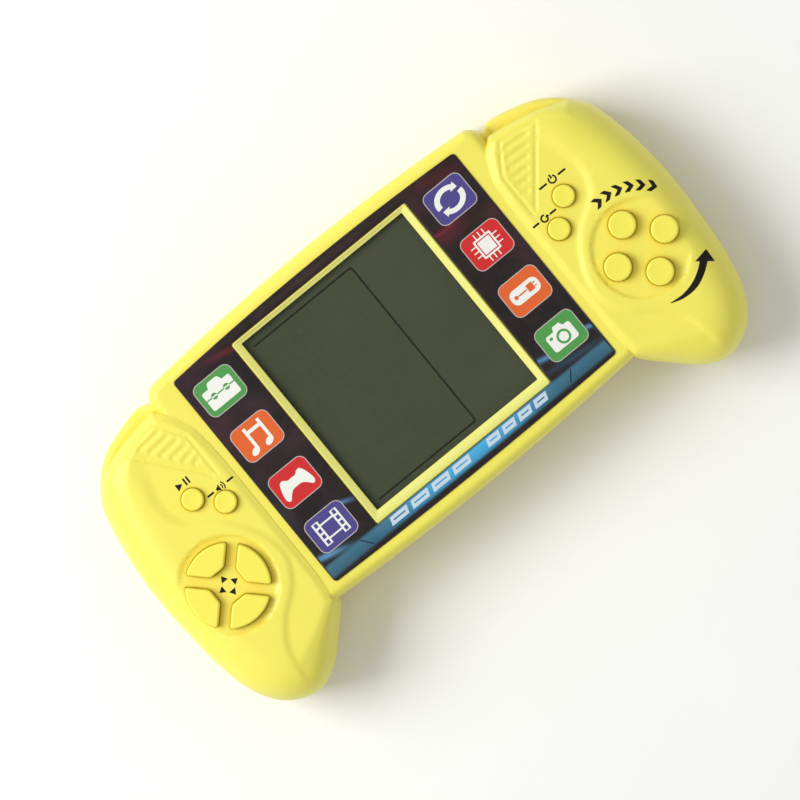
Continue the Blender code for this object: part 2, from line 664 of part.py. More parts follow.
def cell_mesh():
    """AA cell standing on its negative end."""
    half, nub = CELL_LENGTH / 2, 1.5
    bm = bmesh.new()
    turned(bm, [(6.4, -half), (CELL_RADIUS, -half + 0.5), (CELL_RADIUS, half - nub - 0.5), (6.6, half - nub),
                (2.8, half - nub), (2.7, half)], ROUND)
    return mesh_of("battery_cell", bm)


def spring_points(turns, r0, r1, length, per_turn=8):
    count = int(turns * per_turn)
    return [Vector((mix(r0, r1, k / count) * math.cos(math.tau * k / per_turn),
                    mix(r0, r1, k / count) * math.sin(math.tau * k / per_turn), length * k / count))
            for k in range(count + 1)]


def tube(name, points, radius, finish, root, at=(0.0, 0.0, 0.0), resolution=2):
    """Round wire along the points, with closed ends."""
    wire = bpy.data.curves.new(name, "CURVE")
    wire.dimensions = "3D"
    wire.bevel_depth = radius * MM
    wire.bevel_resolution = resolution
    wire.use_fill_caps = True
    line = wire.splines.new("POLY")
    line.points.add(len(points) - 1)
    for target, point in zip(line.points, points):
        target.co = (*(Vector(point) * MM), 1.0)
    item = bpy.data.objects.new(name, wire)
    wire.materials.append(finish)
    item.location = Vector(at) * MM
    item.parent = root
    bpy.context.scene.collection.objects.link(item)
    return item


def leaf(bm, y, out):
    """Raised tongue that meets a cell's button, from the plate towards the cell."""
    loft(bm, [rectangle((-4.0, y - 2.4, 4.0, y + 2.4), 0.3), rectangle((-1.6, y - 1.6, 1.6, y + 1.6), out)])


def contact_plate(root, name, y0, y1, finish, side, leaf_y=None):
    """Sheet against the end wall of the compartment; its own Z axis points at the cells."""
    bm = bmesh.new()
    box_shape(bm, (-5.0, y0, 5.0, y1), 0.0, 0.5)
    at = (side * (BAY[2] - CONTACT_GAP), 0.0, CELL_AXIS_Z)
    plate = place(name, mesh_of(name, bm), finish, at=at, parent=root)
    plate.rotation_euler = (0.0, -side * math.pi / 2, 0.0)
    if leaf_y is not None:
        join(plate, leaf, leaf_y, BAY[2] - CELL_LENGTH / 2 - 0.15)


def battery_pieces(root, finishes):
    mesh = cell_mesh()
    for number, side in ((1, 1), (2, -1)):
        cell = place(f"battery_cell_{number}", mesh, None if mesh.materials else finishes["cell"],
                     at=(0.0, side * CELL_PITCH / 2, CELL_AXIS_Z), parent=root)
        cell.rotation_euler = (0.0, side * math.pi / 2, 0.0)
    y = CELL_PITCH / 2
    contact_plate(root, "contact_plate_negative", y - 5.0, y + 5.0, finishes["plated"], -1)
    contact_plate(root, "contact_plate_positive", -y - 5.0, -y + 5.0, finishes["plated"], -1, -y)
    contact_plate(root, "contact_bridge", -y - 5.0, y + 5.0, finishes["plated"], 1, y)
    start = BAY[2] - CONTACT_GAP - 0.5 - 0.35
    reach = start - CELL_LENGTH / 2 - 0.35
    for name, side, y in (("left", -1, y), ("right", 1, -y)):
        points = [Vector((-side * p.z, p.x, p.y)) for p in spring_points(3.5, 3.6, 2.4, reach)]
        tube(f"contact_spring_{name}", points, 0.3, finishes["plated"], root,
             at=(side * start, y, CELL_AXIS_Z), resolution=1)


# ---------------------------------------------------------------- sounder and leads

def sounder(root, finishes):
    bm = bmesh.new()
    floor = 2.2 + CONTACT_GAP
    turned(bm, [(SOUNDER_RADIUS, floor), (SOUNDER_RADIUS, floor + 0.25)], ROUND)
    place("buzzer_plate", mesh_of("buzzer_plate", bm), finishes["brass"], at=SOUNDER, parent=root)
    bm = bmesh.new()
    turned(bm, [(7.2, floor + 0.3), (7.2, floor + 0.5)], ROUND)
    place("buzzer_ceramic", mesh_of("buzzer_ceramic", bm), finishes["ceramic"], at=SOUNDER, parent=root)


def lead(root, name, route, finish):
    """Insulated wire along a smooth line through its route."""
    tube(name, curve_through(route, 3), 0.55, finish, root)


def leads(root, finishes):
    y = CELL_PITCH / 2
    wall = BAY[0] - CONTACT_GAP
    top = BOARD_Z - 0.1
    lead(root, "battery_lead_red", [(wall, -y, 13.1), (wall - 3.0, -y, 13.1), (wall - 6.0, -y + 1.4, 14.2),
                                    (wall - 7.6, -y + 3.0, top - 1.0), (wall - 7.8, -y + 3.4, top)], finishes["red"])
    lead(root, "battery_lead_black", [(wall, y, 13.1), (wall - 3.0, y, 13.1), (wall - 6.0, y - 1.4, 14.2),
                                      (wall - 7.6, y - 3.0, top - 1.0), (wall - 7.8, y - 3.4, top)], finishes["black"])
    rim = SOUNDER + Vector((-8.6, 0.0, 3.2))
    middle = SOUNDER + Vector((-2.0, 3.0, 3.4))
    lead(root, "buzzer_lead_red", [middle, middle + Vector((-2.0, 1.0, 1.4)), middle + Vector((-6.5, 2.6, 6.0)),
                                   (50.6, 0.6, 14.4), (50.0, 1.0, top)], finishes["red"])
    lead(root, "buzzer_lead_black", [rim, rim + Vector((-1.0, -0.6, 1.5)), rim + Vector((-2.6, -1.4, 6.0)),
                                     (50.4, -8.6, 14.4), (50.0, -9.0, top)], finishes["black"])


# ---------------------------------------------------------------- assembly

def finishes():
    return {
        "shell": material("yellow_abs", (0.82, 0.70, 0.10), 0.32),
        "key": material("key_yellow", (0.84, 0.72, 0.10), 0.3),
        "label": material("printed_panel", (0.02, 0.016, 0.018), 0.3),
        "clear": material("clear_window", (0.55, 0.57, 0.5), 0.08),
        "lcd": material("lcd_glass", (0.063, 0.072, 0.045), 0.15),
        "rubber": material("contact_rubber", (0.09, 0.09, 0.1), 0.7),
        "foam": material("backing_foam", (0.5, 0.5, 0.48), 0.9),
        "board": material("board_laminate", (0.23, 0.13, 0.05), 0.5),
        "epoxy": material("chip_epoxy", (0.01, 0.01, 0.01), 0.25),
        "sleeve": material("capacitor_sleeve", (0.02, 0.03, 0.12), 0.35),
        "resonator": material("resonator_body", (0.6, 0.25, 0.03), 0.4),
        "silicone": material("keypad_silicone", (0.35, 0.36, 0.38), 0.6),
        "screw": material("screw_steel", (0.55, 0.55, 0.57), 0.3, 1.0),
        "cell": material("cell_jacket", (0.05, 0.06, 0.08), 0.3, 0.3),
        "plated": material("contact_nickel", (0.66, 0.65, 0.62), 0.25, 1.0),
        "brass": material("buzzer_brass", (0.72, 0.5, 0.2), 0.3, 1.0),
        "ceramic": material("buzzer_piezo", (0.75, 0.74, 0.7), 0.5),
        "red": material("lead_red", (0.6, 0.03, 0.02), 0.4),
        "black": material("lead_black", (0.02, 0.02, 0.02), 0.4),
    }


def main():
    clear_scene()
    root = make_root()
    look = finishes()
    front_shell(root, look["shell"])
    rear_shell(root, look["shell"])
    battery_door(root, look["shell"])
    screen_pieces(root, look)
    board_pieces(root, look)
    keys(root, look["key"])
    keypads(root, look["silicone"])
    screws(root, look["screw"])
    battery_pieces(root, look)
    sounder(root, look)
    leads(root, look)


main()
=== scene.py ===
"""Looks of the handheld LCD game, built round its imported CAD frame.

Shapes are drawn in millimetres in the game's own plan: the origin is the middle of the
printed panel, X runs to the player's right and Y away from the player. Heights are measured
from the flat back. `to_world` turns them into the frame's metres.
"""

from math import atan2, cos, gamma, pi, radians, sin, sqrt, tan, tau

import bmesh
import bpy
import numpy as np
from mathutils import Matrix, Vector
from mathutils.geometry import delaunay_2d_cdt


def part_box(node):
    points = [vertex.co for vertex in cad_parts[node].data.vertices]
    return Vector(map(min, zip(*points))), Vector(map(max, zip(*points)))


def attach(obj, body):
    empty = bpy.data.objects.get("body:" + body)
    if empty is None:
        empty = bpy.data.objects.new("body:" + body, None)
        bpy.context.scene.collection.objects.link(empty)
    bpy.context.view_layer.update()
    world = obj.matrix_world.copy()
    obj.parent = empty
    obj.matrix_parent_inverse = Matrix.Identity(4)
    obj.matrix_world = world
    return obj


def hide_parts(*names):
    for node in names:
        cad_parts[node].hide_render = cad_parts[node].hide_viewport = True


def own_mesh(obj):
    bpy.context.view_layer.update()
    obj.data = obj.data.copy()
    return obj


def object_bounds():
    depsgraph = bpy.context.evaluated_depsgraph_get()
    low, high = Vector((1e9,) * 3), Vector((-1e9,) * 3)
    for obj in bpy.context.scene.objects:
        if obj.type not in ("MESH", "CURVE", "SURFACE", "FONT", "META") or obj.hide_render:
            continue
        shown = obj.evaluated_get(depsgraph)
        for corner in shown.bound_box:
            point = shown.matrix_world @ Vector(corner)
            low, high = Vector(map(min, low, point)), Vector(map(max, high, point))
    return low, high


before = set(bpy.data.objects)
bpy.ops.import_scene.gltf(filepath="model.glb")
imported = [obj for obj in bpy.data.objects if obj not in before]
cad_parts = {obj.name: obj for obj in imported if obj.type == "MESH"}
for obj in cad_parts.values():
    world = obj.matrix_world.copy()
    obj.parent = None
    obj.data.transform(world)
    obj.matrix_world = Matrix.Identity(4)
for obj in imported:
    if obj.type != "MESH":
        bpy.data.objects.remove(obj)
CAD_LOW, CAD_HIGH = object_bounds()

# ---------------------------------------------------------------- sizes, in millimetres

MM = 0.001
HEAD_Y, FOOT_Y, HORN_Y = 36.9, -36.9, -50.2
ORIGIN = Vector(((CAD_LOW.x + CAD_HIGH.x) / 2, CAD_HIGH.y - HEAD_Y * MM, CAD_LOW.z))
HALF_WIDTH = (CAD_HIGH.x - CAD_LOW.x) / 2 / MM

PART_LINE_Z = 12.0
SEAM = 0.15  # each shell stops this far from the parting line
SHOULDER_Z = 18.5
PAD_Z = 26.6  # top of the grips
VALLEY_DROP = 0.7  # the ground towards the screen lies this far below the grip's top
HORN_FOLD = 0.45  # depth to which the valley's edge runs on down the horn
DISH_Z, DISH_DEPTH = 25.85, 0.85
DISH_RIM = (11.9, 12.9)  # the dish round a cluster of keys rises between these radii
GRIP_EDGE_X = 47.0
OUTSIDE = -60.0  # height that stands for no surface
SKIRT = 0.03  # how far the foot of a cliff stands outside its top


def in_game(point):
    """A frame point in game millimetres."""
    return (Vector(point) - ORIGIN) / MM


def node_box(node):
    low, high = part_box(node)
    return in_game(low), in_game(high)


def node_middle(node):
    low, high = node_box(node)
    return (low + high) / 2


PANEL_LOW, PANEL_HIGH = node_box("label_panel")
FACE_Z = PANEL_LOW.z - 0.05
LENS_LOW, LENS_HIGH = node_box("screen_window")
GLASS_LOW, GLASS_HIGH = node_box("lcd_panel")
DOOR_LOW, _ = node_box("battery_door")
ACTION = {n: node_middle(f"action_key_{n}") for n in ("top", "right", "bottom", "left")}
CLUSTER = sum(ACTION.values(), Vector()) / 4
SMALL_KEYS = ("power_key", "reset_key", "start_pause_key", "sound_key")
SMALL = {n: node_middle(n) for n in SMALL_KEYS}
KEY_GAP = 0.14
KEY_WELL = 0.32  # depth of the gap that shows round a key
ACTION_RADIUS, SMALL_RADIUS = 3.45, 2.8
PAD_RADIUS, PAD_CHANNEL, PAD_TRUNCATION = 10.7, 3.0, 4.2
FRAME = (-27.6, -27.3, 27.6, 29.7)
WINDOW = (-25.5, -24.6, 25.5, 28.3)
FRAME_TOP_Z = 25.8
FRAME_FALL = 0.55  # how far the frame's top slopes down towards the window
CASE_SCREWS = [node_middle(f"case_screw_{k}") for k in range(1, 7)]
SOUNDER = node_middle("buzzer_plate")
PAD_CENTRE = (-CLUSTER.x, CLUSTER.y)
WEB_THICK = 0.9  # of the silicone sheets under the keys
KEYPAD_KEYS = {
    "right": [*(f"action_key_{n}" for n in ACTION), *SMALL_KEYS[:2]],
    "left": [*(f"dpad_key_{n}" for n in ("up", "right", "down", "left")), *SMALL_KEYS[2:]],
}
WELL_RADIUS, WELL_DEPTH = 2.8, 9.6  # of the holes that the case screws sit in
SCREW_SEATS = [Vector((*at[:2], WELL_DEPTH)) for at in CASE_SCREWS]
SHELL_WALL = 2.0
DOOR, DOOR_CORNER = (-28.8, -17.2, 28.8, 17.2), 0.8
DOOR_GAP, DOOR_THICK, HOOK_X = 0.3, 1.6, 19.0
BAY = (-29.0, -20.0, 29.0, 18.0)
BAY_CEILING_Z = 16.7
VENT_RING, VENT_RADIUS = 4.2, 0.9  # the holes under the sounder
HOLE_EASE = 0.22  # how far a shell dips at the edge of a hole
LIP_WIDTH = 1.3  # how far a shell's rim turns inwards
BLOCK_EASE = 0.18  # rounding of the door's hooks and tongue
# distances in from an outline at which the skins have rings of points
EDGE_STEPS = (-SKIRT, SKIRT, 0.1, 0.25, 0.5, 0.85, 1.3, 1.9, 2.6, 3.6, 4.8, 6.2, 8.0)
SHARP_ANGLE = 38  # in degrees
NEAR = 2.0  # reach of near_ring
NUDGE = 0.05  # step over which a slope is measured
SAME_POINT = 1e-5  # plan points closer than this are one
SOFT_POWER = 6  # how strongly the nearest side counts in soft_distance
# plan boxes that the skins' loose points are laid over
GRIP_AREA, CENTRE_AREA = (44.0, -52.0, 84.0, 34.0), (-46.0, -38.0, 46.0, 38.0)


# ---------------------------------------------------------------- plan geometry

def mix(a, b, t):
    return a + (b - a) * t


def step(low, high, value):
    """0 below low, 1 above high and smooth between."""
    t = np.clip((value - low) / (high - low), 0.0, 1.0)
    return t * t * (3 - 2 * t)


def soft_max(a, b, ease):
    return 0.5 * (a + b + np.sqrt((a - b) ** 2 + ease**2))


def soft_min(a, b, ease):
    return -soft_max(-a, -b, ease)


def curve_through(points, steps):
    """Catmull-Rom points through the given ones, with the last point included."""
    points = [np.array(p, float) for p in points]
    control = [2 * points[0] - points[1], *points, 2 * points[-1] - points[-2]]
    found = []
    for a, b, c, d in zip(control, control[1:], control[2:], control[3:]):
        for k in range(steps):
            t = k / steps
            found.append(0.5 * (2 * b + (c - a) * t + (2 * a - 5 * b + 4 * c - d) * t**2
                                + (3 * b - a - 3 * c + d) * t**3))
    return np.array([*found, points[-1]])


def resampled(ring, pitch, count=None):
    """A closed ring, whose rows may hold further values, at an even spacing or with a set count."""
    ring = np.array(ring, float)
    closed = np.vstack([ring, ring[:1]])
    lengths = np.hypot(*(closed[1:, :2] - closed[:-1, :2]).T)
    at = np.concatenate([[0], np.cumsum(lengths)])
    count = count or max(8, int(round(at[-1] / pitch)))
    wanted = np.arange(count) * at[-1] / count
    return np.stack([np.interp(wanted, at, closed[:, k]) for k in range(ring.shape[1])], axis=1)


def ring_distance(points, ring):
    """Distance to a closed ring, positive inside."""
    a, b = ring[:, :2], np.roll(ring[:, :2], -1, axis=0)
    edge = b - a
    long2 = (edge**2).sum(1) + 1e-12
    distance = np.empty(len(points))
    for rows in batches(points):
        p = points[rows, None, :]
        t = np.clip(((p - a) * edge).sum(2) / long2, 0, 1)
        away = ((p - (a + t[..., None] * edge)) ** 2).sum(2).min(1)
        crosses = (a[:, 1] > p[..., 1]) != (b[:, 1] > p[..., 1])
        with np.errstate(divide="ignore", invalid="ignore"):
            x = a[:, 0] + (p[..., 1] - a[:, 1]) * edge[:, 0] / edge[:, 1]
        inside = (crosses & (p[..., 0] < x)).sum(1) % 2 == 1
        distance[rows] = np.where(inside, 1, -1) * np.sqrt(away)
    return distance


def batches(points, size=4000):
    """Slices that keep the arrays of distances small."""
    return [slice(start, start + size) for start in range(0, len(points), size)]


def near_ring(points, ring):
    """As ring_distance, but anything further out than NEAR is only said to be that far."""
    low, high = ring[:, :2].min(0) - NEAR, ring[:, :2].max(0) + NEAR
    close = ((points > low) & (points < high)).all(1)
    distance = np.full(len(points), -NEAR)
    distance[close] = ring_distance(points[close], ring)
    return distance


def soft_distance(points, ring):
    """Distance in from a ring, rounded over where two sides are about as near, and the ring's own
    third value blended over the sides in the same way."""
    exact = ring_distance(points, ring)
    pitch = np.hypot(*(np.roll(ring[:, :2], -1, axis=0) - ring[:, :2]).T)
    share = sqrt(pi) * gamma((SOFT_POWER - 1) / 2) / gamma(SOFT_POWER / 2)
    soft, value = np.empty(len(points)), np.empty(len(points))
    for rows in batches(points):
        away = ((points[rows, None, :] - ring[:, :2]) ** 2).sum(2) + 1e-6
        weight = pitch * away ** (-SOFT_POWER / 2)
        total = weight.sum(1)
        soft[rows] = (total / share) ** (-1 / (SOFT_POWER - 1))
        value[rows] = (weight * ring[:, 2]).sum(1) / total
    rounded = mix(np.abs(exact), soft, step(1.2, 3.0, np.abs(exact)))
    return np.where(exact > 0, rounded, exact), value


def groove(points, a, b, depth, core, edge):
    """Depth of a groove along a segment: full within the core, and nothing beyond the edge."""
    a, b = np.array(a, float), np.array(b, float)
    t = np.clip(((points - a) @ (b - a)) / ((b - a) @ (b - a)), 0, 1)
    return depth * (1 - step(core, edge, np.hypot(*(points - (a + t[:, None] * (b - a))).T)))


def inset(ring, by):
    """The ring moved inwards; negative moves it out. The ring runs anticlockwise."""
    along = np.roll(ring[:, :2], -1, axis=0) - np.roll(ring[:, :2], 1, axis=0)
    along /= np.hypot(*along.T)[:, None] + 1e-12
    return ring[:, :2] + by * np.stack([-along[:, 1], along[:, 0]], axis=1)


def mirrored(ring):
    return (ring * np.array([-1.0, 1.0]))[::-1]


def circle(centre, radius, count=48):
    a = np.arange(count) * tau / count
    return np.stack([centre[0] + radius * np.cos(a), centre[1] + radius * np.sin(a)], axis=1)


def arc(centre, radius, start, end, count=16):
    a = np.radians(np.linspace(start, end, count))
    return [(centre[0] + radius * cos(t), centre[1] + radius * sin(t)) for t in a]


def grown(box, by):
    x0, y0, x1, y1 = box
    return (x0 - by, y0 - by, x1 + by, y1 + by)


def rounded_box(box, radius, steps=6):
    x0, y0, x1, y1 = grown(box, -radius)
    corners = (((x1, y0), -90), ((x1, y1), 0), ((x0, y1), 90), ((x0, y0), 180))
    return np.vstack([arc(at, radius, start, start + 90, steps + 1) for at, start in corners])


def wedge(quarter, grow=0.0):
    """One quarter of the four-way pad with slightly rounded corners."""
    offset = (PAD_CHANNEL / 2 - grow) * sqrt(2)
    radius, inner = PAD_RADIUS + grow, PAD_TRUNCATION - grow
    corner = (offset + sqrt(2 * radius**2 - offset**2)) / 2
    spread = atan2(corner - offset, corner)
    ring = [(inner, -(inner - offset))]
    ring += [(radius * cos(a), radius * sin(a)) for a in np.linspace(-spread, spread, 25)]
    ring.append((inner, inner - offset))
    return turned_ring(eased(resampled(ring, 0.25, 112), 0.5), 90 * quarter, PAD_CENTRE)


def turned_ring(ring, degrees, at=(0.0, 0.0)):
    c, s = cos(radians(degrees)), sin(radians(degrees))
    return np.asarray(ring, float) @ np.array([[c, s], [-s, c]]) + np.asarray(at)[:2]


def eased(ring, radius, pitch=0.25):
    """Corners softened by averaging along the ring."""
    for _ in range(int(round((radius / pitch) ** 2 * 1.5))):
        ring = (np.roll(ring, 1, axis=0) + 2 * ring + np.roll(ring, -1, axis=0)) / 4
    return ring


# ---------------------------------------------------------------- outlines of the case

def centre_ring():
    half, rise, drop = 52.8, 2.4, 1.6
    ring = [(48.0, FOOT_Y + drop), (half - 2.0, FOOT_Y + 5.0), (half, HEAD_Y - 8.0), (half, HEAD_Y - 5.6),
            (half - 0.4, HEAD_Y - 4.6), (half - 1.3, HEAD_Y - 3.4)]
    ring += [(u * 50.0, HEAD_Y - rise * u * u) for u in np.linspace(1, -1, 61)]
    ring += [(-x, y) for x, y in ring[5::-1]]
    ring += [(u * 48.0, FOOT_Y + drop * u * u) for u in np.linspace(-1, 1, 61)[1:-1]]
    return resampled(ring, 0.8)


def grip_ring():
    """Right grip, anticlockwise, with its roundness as a third value."""
    runs = [
        (0.0, [(GRIP_EDGE_X, -35.0), (GRIP_EDGE_X, -12.0), (GRIP_EDGE_X, 8.0), (GRIP_EDGE_X + 0.5, 20.0)]),
        (0.15, [(GRIP_EDGE_X + 0.5, 20.0), (50.2, 26.6), (53.5, 29.9)]),
        (0.3, [(53.5, 29.9), (60.0, 28.9), (67.0, 27.4), (75.0, 24.4)]),
        (1.0, [(75.0, 24.4), (78.6, 19.2), (80.9, 10.0), (82.2, 0.0), (HALF_WIDTH, -10.0), (82.0, -20.5),
               (80.9, -31.0), (78.4, -40.4), (73.4, -47.2), (66.0, HORN_Y), (59.6, -48.0), (54.0, -43.1)]),
        (0.5, [(54.0, -43.1), (50.0, -39.1), (GRIP_EDGE_X + 0.4, -36.2), (GRIP_EDGE_X, -35.0)]),
    ]
    ring = []
    for roundness, points in runs:
        ring += [(*p, roundness) for p in curve_through(points, 10)[:-1]]
    ring = resampled(ring, 0.8)[::-1]
    for _ in range(40):
        ring[:, 2] = (np.roll(ring[:, 2], 1) + ring[:, 2] + np.roll(ring[:, 2], -1)) / 3
    return ring


def shoulder_ring():
    edge = curve_through([(52.2, 30.9), (53.2, 31.3), (56.0, 32.5), (62.0, 31.4), (68.5, 29.2), (73.0, 26.2),
                          (75.2, 24.0)], 8)
    return resampled([*edge, (72.0, 19.0), (57.0, 22.0), (50.0, 26.0)], 0.8)[::-1]


def valley_ring():
    points = [(64.5, 28.0), (66.0, 17.0), (67.2, 10.0), (64.8, 2.6), (57.0, -3.0), (51.6, -11.0),
              (50.3, -19.0), (53.5, -25.5), (60.0, -31.0), (64.5, -38.0), (66.0, -50.0)]
    sweep = curve_through(points, 8)
    return np.array([*sweep, (40.0, -52.0), (40.0, 34.0), (60.0, 34.0)])[::-1]


CENTRE, GRIP, SHOULDER, VALLEY = centre_ring(), grip_ring(), shoulder_ring(), valley_ring()


def bulge(distance, width, height, power):
    """Height above its foot of an edge that curves over within a width."""
    t = np.clip(distance / width, 0.0, 1.0)
    return height * (1 - (1 - t) ** power) ** (1 / power)


def bulge_inset(share, width, power):
    """The distance from the edge at which a bulge has risen by a share of its height."""
    return width * (1 - (1 - share**power) ** (1 / power))


def grip_height(distance, roundness, foot, top, width, power, crisp_from, crisp_width):
    """Rises from foot to top; round sides curve over, crisp ones stand up and then slope."""
    found = np.full(len(distance), foot)
    levels = foot + (top - foot) * np.sin(np.linspace(0, pi / 2, 70))
    before = np.zeros(len(distance))
    for low, high in zip(levels, levels[1:]):
        crisp = crisp_width * np.clip((high - crisp_from) / (top - crisp_from), 0, 1)
        reach = mix(crisp, bulge_inset((high - foot) / (top - foot), width, power), roundness)
        share = np.clip((distance - before) / np.maximum(reach - before, 1e-9), 0, 1)
        found += share * (high - low)
        before = reach
    return np.where(distance > 0, found, OUTSIDE)


def quadrant(points):
    """The case is the same on both sides, so heights are worked out for the right half."""
    return np.stack([np.abs(points[:, 0]), points[:, 1]], axis=1)


def footprint(points):
    """Signed distance to the whole case outline, positive inside."""
    q = quadrant(points)
    return np.max([ring_distance(q, ring) for ring in (CENTRE, GRIP, SHOULDER)], axis=0)


RIB_ROWS, RIB_DEPTH = 6, 0.23


def ornament(q):
    """Ribbed panel with a grooved border, as a change in height."""
    change = np.zeros(len(q))
    near = (q[:, 0] > 48) & (q[:, 0] < 69) & (q[:, 1] > 5) & (q[:, 1] < 30)
    p = q[near]
    cuts = []
    for t in np.arange(RIB_ROWS) / (RIB_ROWS - 1):
        y = mix(24.2, 13.0, t)
        rib = (max(51.7, mix(55.4, 49.6, t)), y + 0.2), (mix(61.6, 53.0, t), y - 0.2)
        cuts.append(groove(p, *rib, RIB_DEPTH, 0.1, 1.0))
    border = ((50.4, 7.6), (50.4, 19.4), (55.2, 26.5), (65.4, 24.9), (51.4, 7.8))
    cuts += [groove(p, a, b, RIB_DEPTH, 0.0, 0.85) for a, b in zip(border, border[1:])]
    change[near] = -np.max(cuts, axis=0)
    return change


def front_height(points):
    """Top surface of the front shell."""
    q = quadrant(points)
    centre = ring_distance(q, CENTRE)
    middle = np.where(centre > 0, FACE_Z - 5.0 + bulge(centre, 2.6, 5.0, 2.2), OUTSIDE)
    edge, roundness = soft_distance(q, GRIP)
    pad = grip_height(edge, roundness, PART_LINE_Z + SEAM, PAD_Z, 12.5, 2.7, FACE_Z, 3.0)
    valley = ring_distance(q, VALLEY)
    softness = mix(0.9, 1.3, step(-30.0, -20.0, q[:, 1])) + 0.8 * step(0.0, 14.0, q[:, 1])
    softness += 2.6 * step(13.0, 25.0, q[:, 1])
    fade = mix(0.65, 1.0, step(-46.0, -34.0, q[:, 1]))
    pad = soft_min(pad, PAD_Z + 0.1 - VALLEY_DROP * fade * step(-softness, softness, valley), 0.12)
    fold = (1 - step(-45.0, -36.0, q[:, 1])) * step(2.0, 6.0, edge)
    pad -= HORN_FOLD * fold * step(-softness, softness, valley)
    dish = np.hypot(q[:, 0] - CLUSTER.x, q[:, 1] - CLUSTER.y)
    pad = soft_min(pad, DISH_Z + DISH_DEPTH * step(*DISH_RIM, dish), 0.12)
    pad += step(-1.8, 0.4, valley) * ornament(q)
    shoulder = ring_distance(q, SHOULDER)
    near_centre = 3.5 * (1 - step(52.4, 55.5, q[:, 0]))
    ledge = np.where(shoulder > 0, SHOULDER_Z - 3.0 + near_centre + bulge(shoulder, 1.4, 3.0, 2.2), OUTSIDE)
    return np.maximum(soft_max(middle, pad, mix(0.35, 1.1, step(25.0, 30.0, q[:, 1]))), ledge)


def rear_height(points):
    """Lower surface of the rear shell, as a height above the table."""
    q = quadrant(points)
    rim = PART_LINE_Z - SEAM
    centre = ring_distance(q, CENTRE)
    middle = np.where(centre > 0, rim - 3.4 + bulge(centre, 2.8, 3.4, 2.0), OUTSIDE)
    edge, roundness = soft_distance(q, GRIP)
    pad = grip_height(edge, roundness, 0.0, rim, 10.0, 2.45, rim - 3.0, 2.4)
    shoulder = ring_distance(q, SHOULDER)
    ledge = np.where(shoulder > 0, 4.6 + bulge(shoulder, 1.6, 1.8, 2.0), OUTSIDE)
    return rim - np.maximum(soft_max(middle, pad, 0.05), ledge)


# ---------------------------------------------------------------- meshes

def to_world(points):
    return np.asarray(points, float) * MM + np.array(ORIGIN)


def finished(name, mesh, material, body="case"):
    """Makes a piece of the game from a mesh."""
    mesh.name = name
    mesh.shade_smooth()
    mesh.set_sharp_from_angle(angle=radians(SHARP_ANGLE))
    mesh.materials.append(material)
    item = added(name, mesh)
    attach(item, body)
    return item


def added(name, data):
    item = bpy.data.objects.new(name, data)
    bpy.context.scene.collection.objects.link(item)
    return item


def mesh_from(points, faces):
    mesh = bpy.data.meshes.new("shape")
    mesh.from_pydata(to_world(points).tolist(), [], [list(map(int, f)) for f in faces])
    mesh.validate()
    mesh.update()
    return mesh


def height_field(plan, z, faces):
    bm = bmesh.new()
    bm.from_mesh(mesh_from(np.column_stack([plan, z]), faces))
    return bm


def boundary(edges):
    return [e for e in edges if e.is_boundary]


def extruded(bm, edges):
    """Extrudes edges, and gives the points and the edges that this makes."""
    made = bmesh.ops.extrude_edge_only(bm, edges=edges)["geom"]
    return [[g for g in made if isinstance(g, kind)] for kind in (bmesh.types.BMVert, bmesh.types.BMEdge)]


def mesh_of(bm):
    """Empties the bmesh into a mesh, leaving out the points that no face uses."""
    bmesh.ops.delete(bm, geom=[v for v in bm.verts if not v.link_faces], context="VERTS")
    mesh = bpy.data.meshes.new("shape")
    bm.to_mesh(mesh)
    bm.free()
    return mesh


def triangulated(rings, extra):
    """Plan points and triangles that keep every ring's edges."""
    points, edges = [], []
    for ring in rings:
        first = len(points)
        points += [Vector(p[:2]) for p in ring]
        edges += [(first + k, first + (k + 1) % len(ring)) for k in range(len(ring))]
    points += [Vector(p) for p in extra]
    found = delaunay_2d_cdt(points, edges, [], 0, SAME_POINT, False)
    return np.array([tuple(p) for p in found[0]]), np.array(found[2])


def grid(box, pitch):
    x0, y0, x1, y1 = box
    xs, ys = np.arange(x0, x1, pitch), np.arange(y0, y1, pitch)
    return np.stack(np.meshgrid(xs, ys), axis=-1).reshape(-1, 2)


def clear_of(points, rings, room):
    """The points that share no small cell with a ring."""
    taken = set()
    for ring in rings:
        for x, y in resampled(ring[:, :2], room / 2):
            taken.add((round(x / room), round(y / room)))
    keep = [(round(x / room), round(y / room)) not in taken for x, y in points]
    return points[np.array(keep)]


def case_rings():
    """Both halves' outline rings at each distance in from the edge."""
    rings = []
    for outline, most in ((CENTRE, 3.0), (GRIP, 9.0), (SHOULDER, 1.6)):
        for ring in (inset(outline, by) for by in EDGE_STEPS if by <= most):
            rings += [ring] if outline is CENTRE else [ring, mirrored(ring)]
    return rings


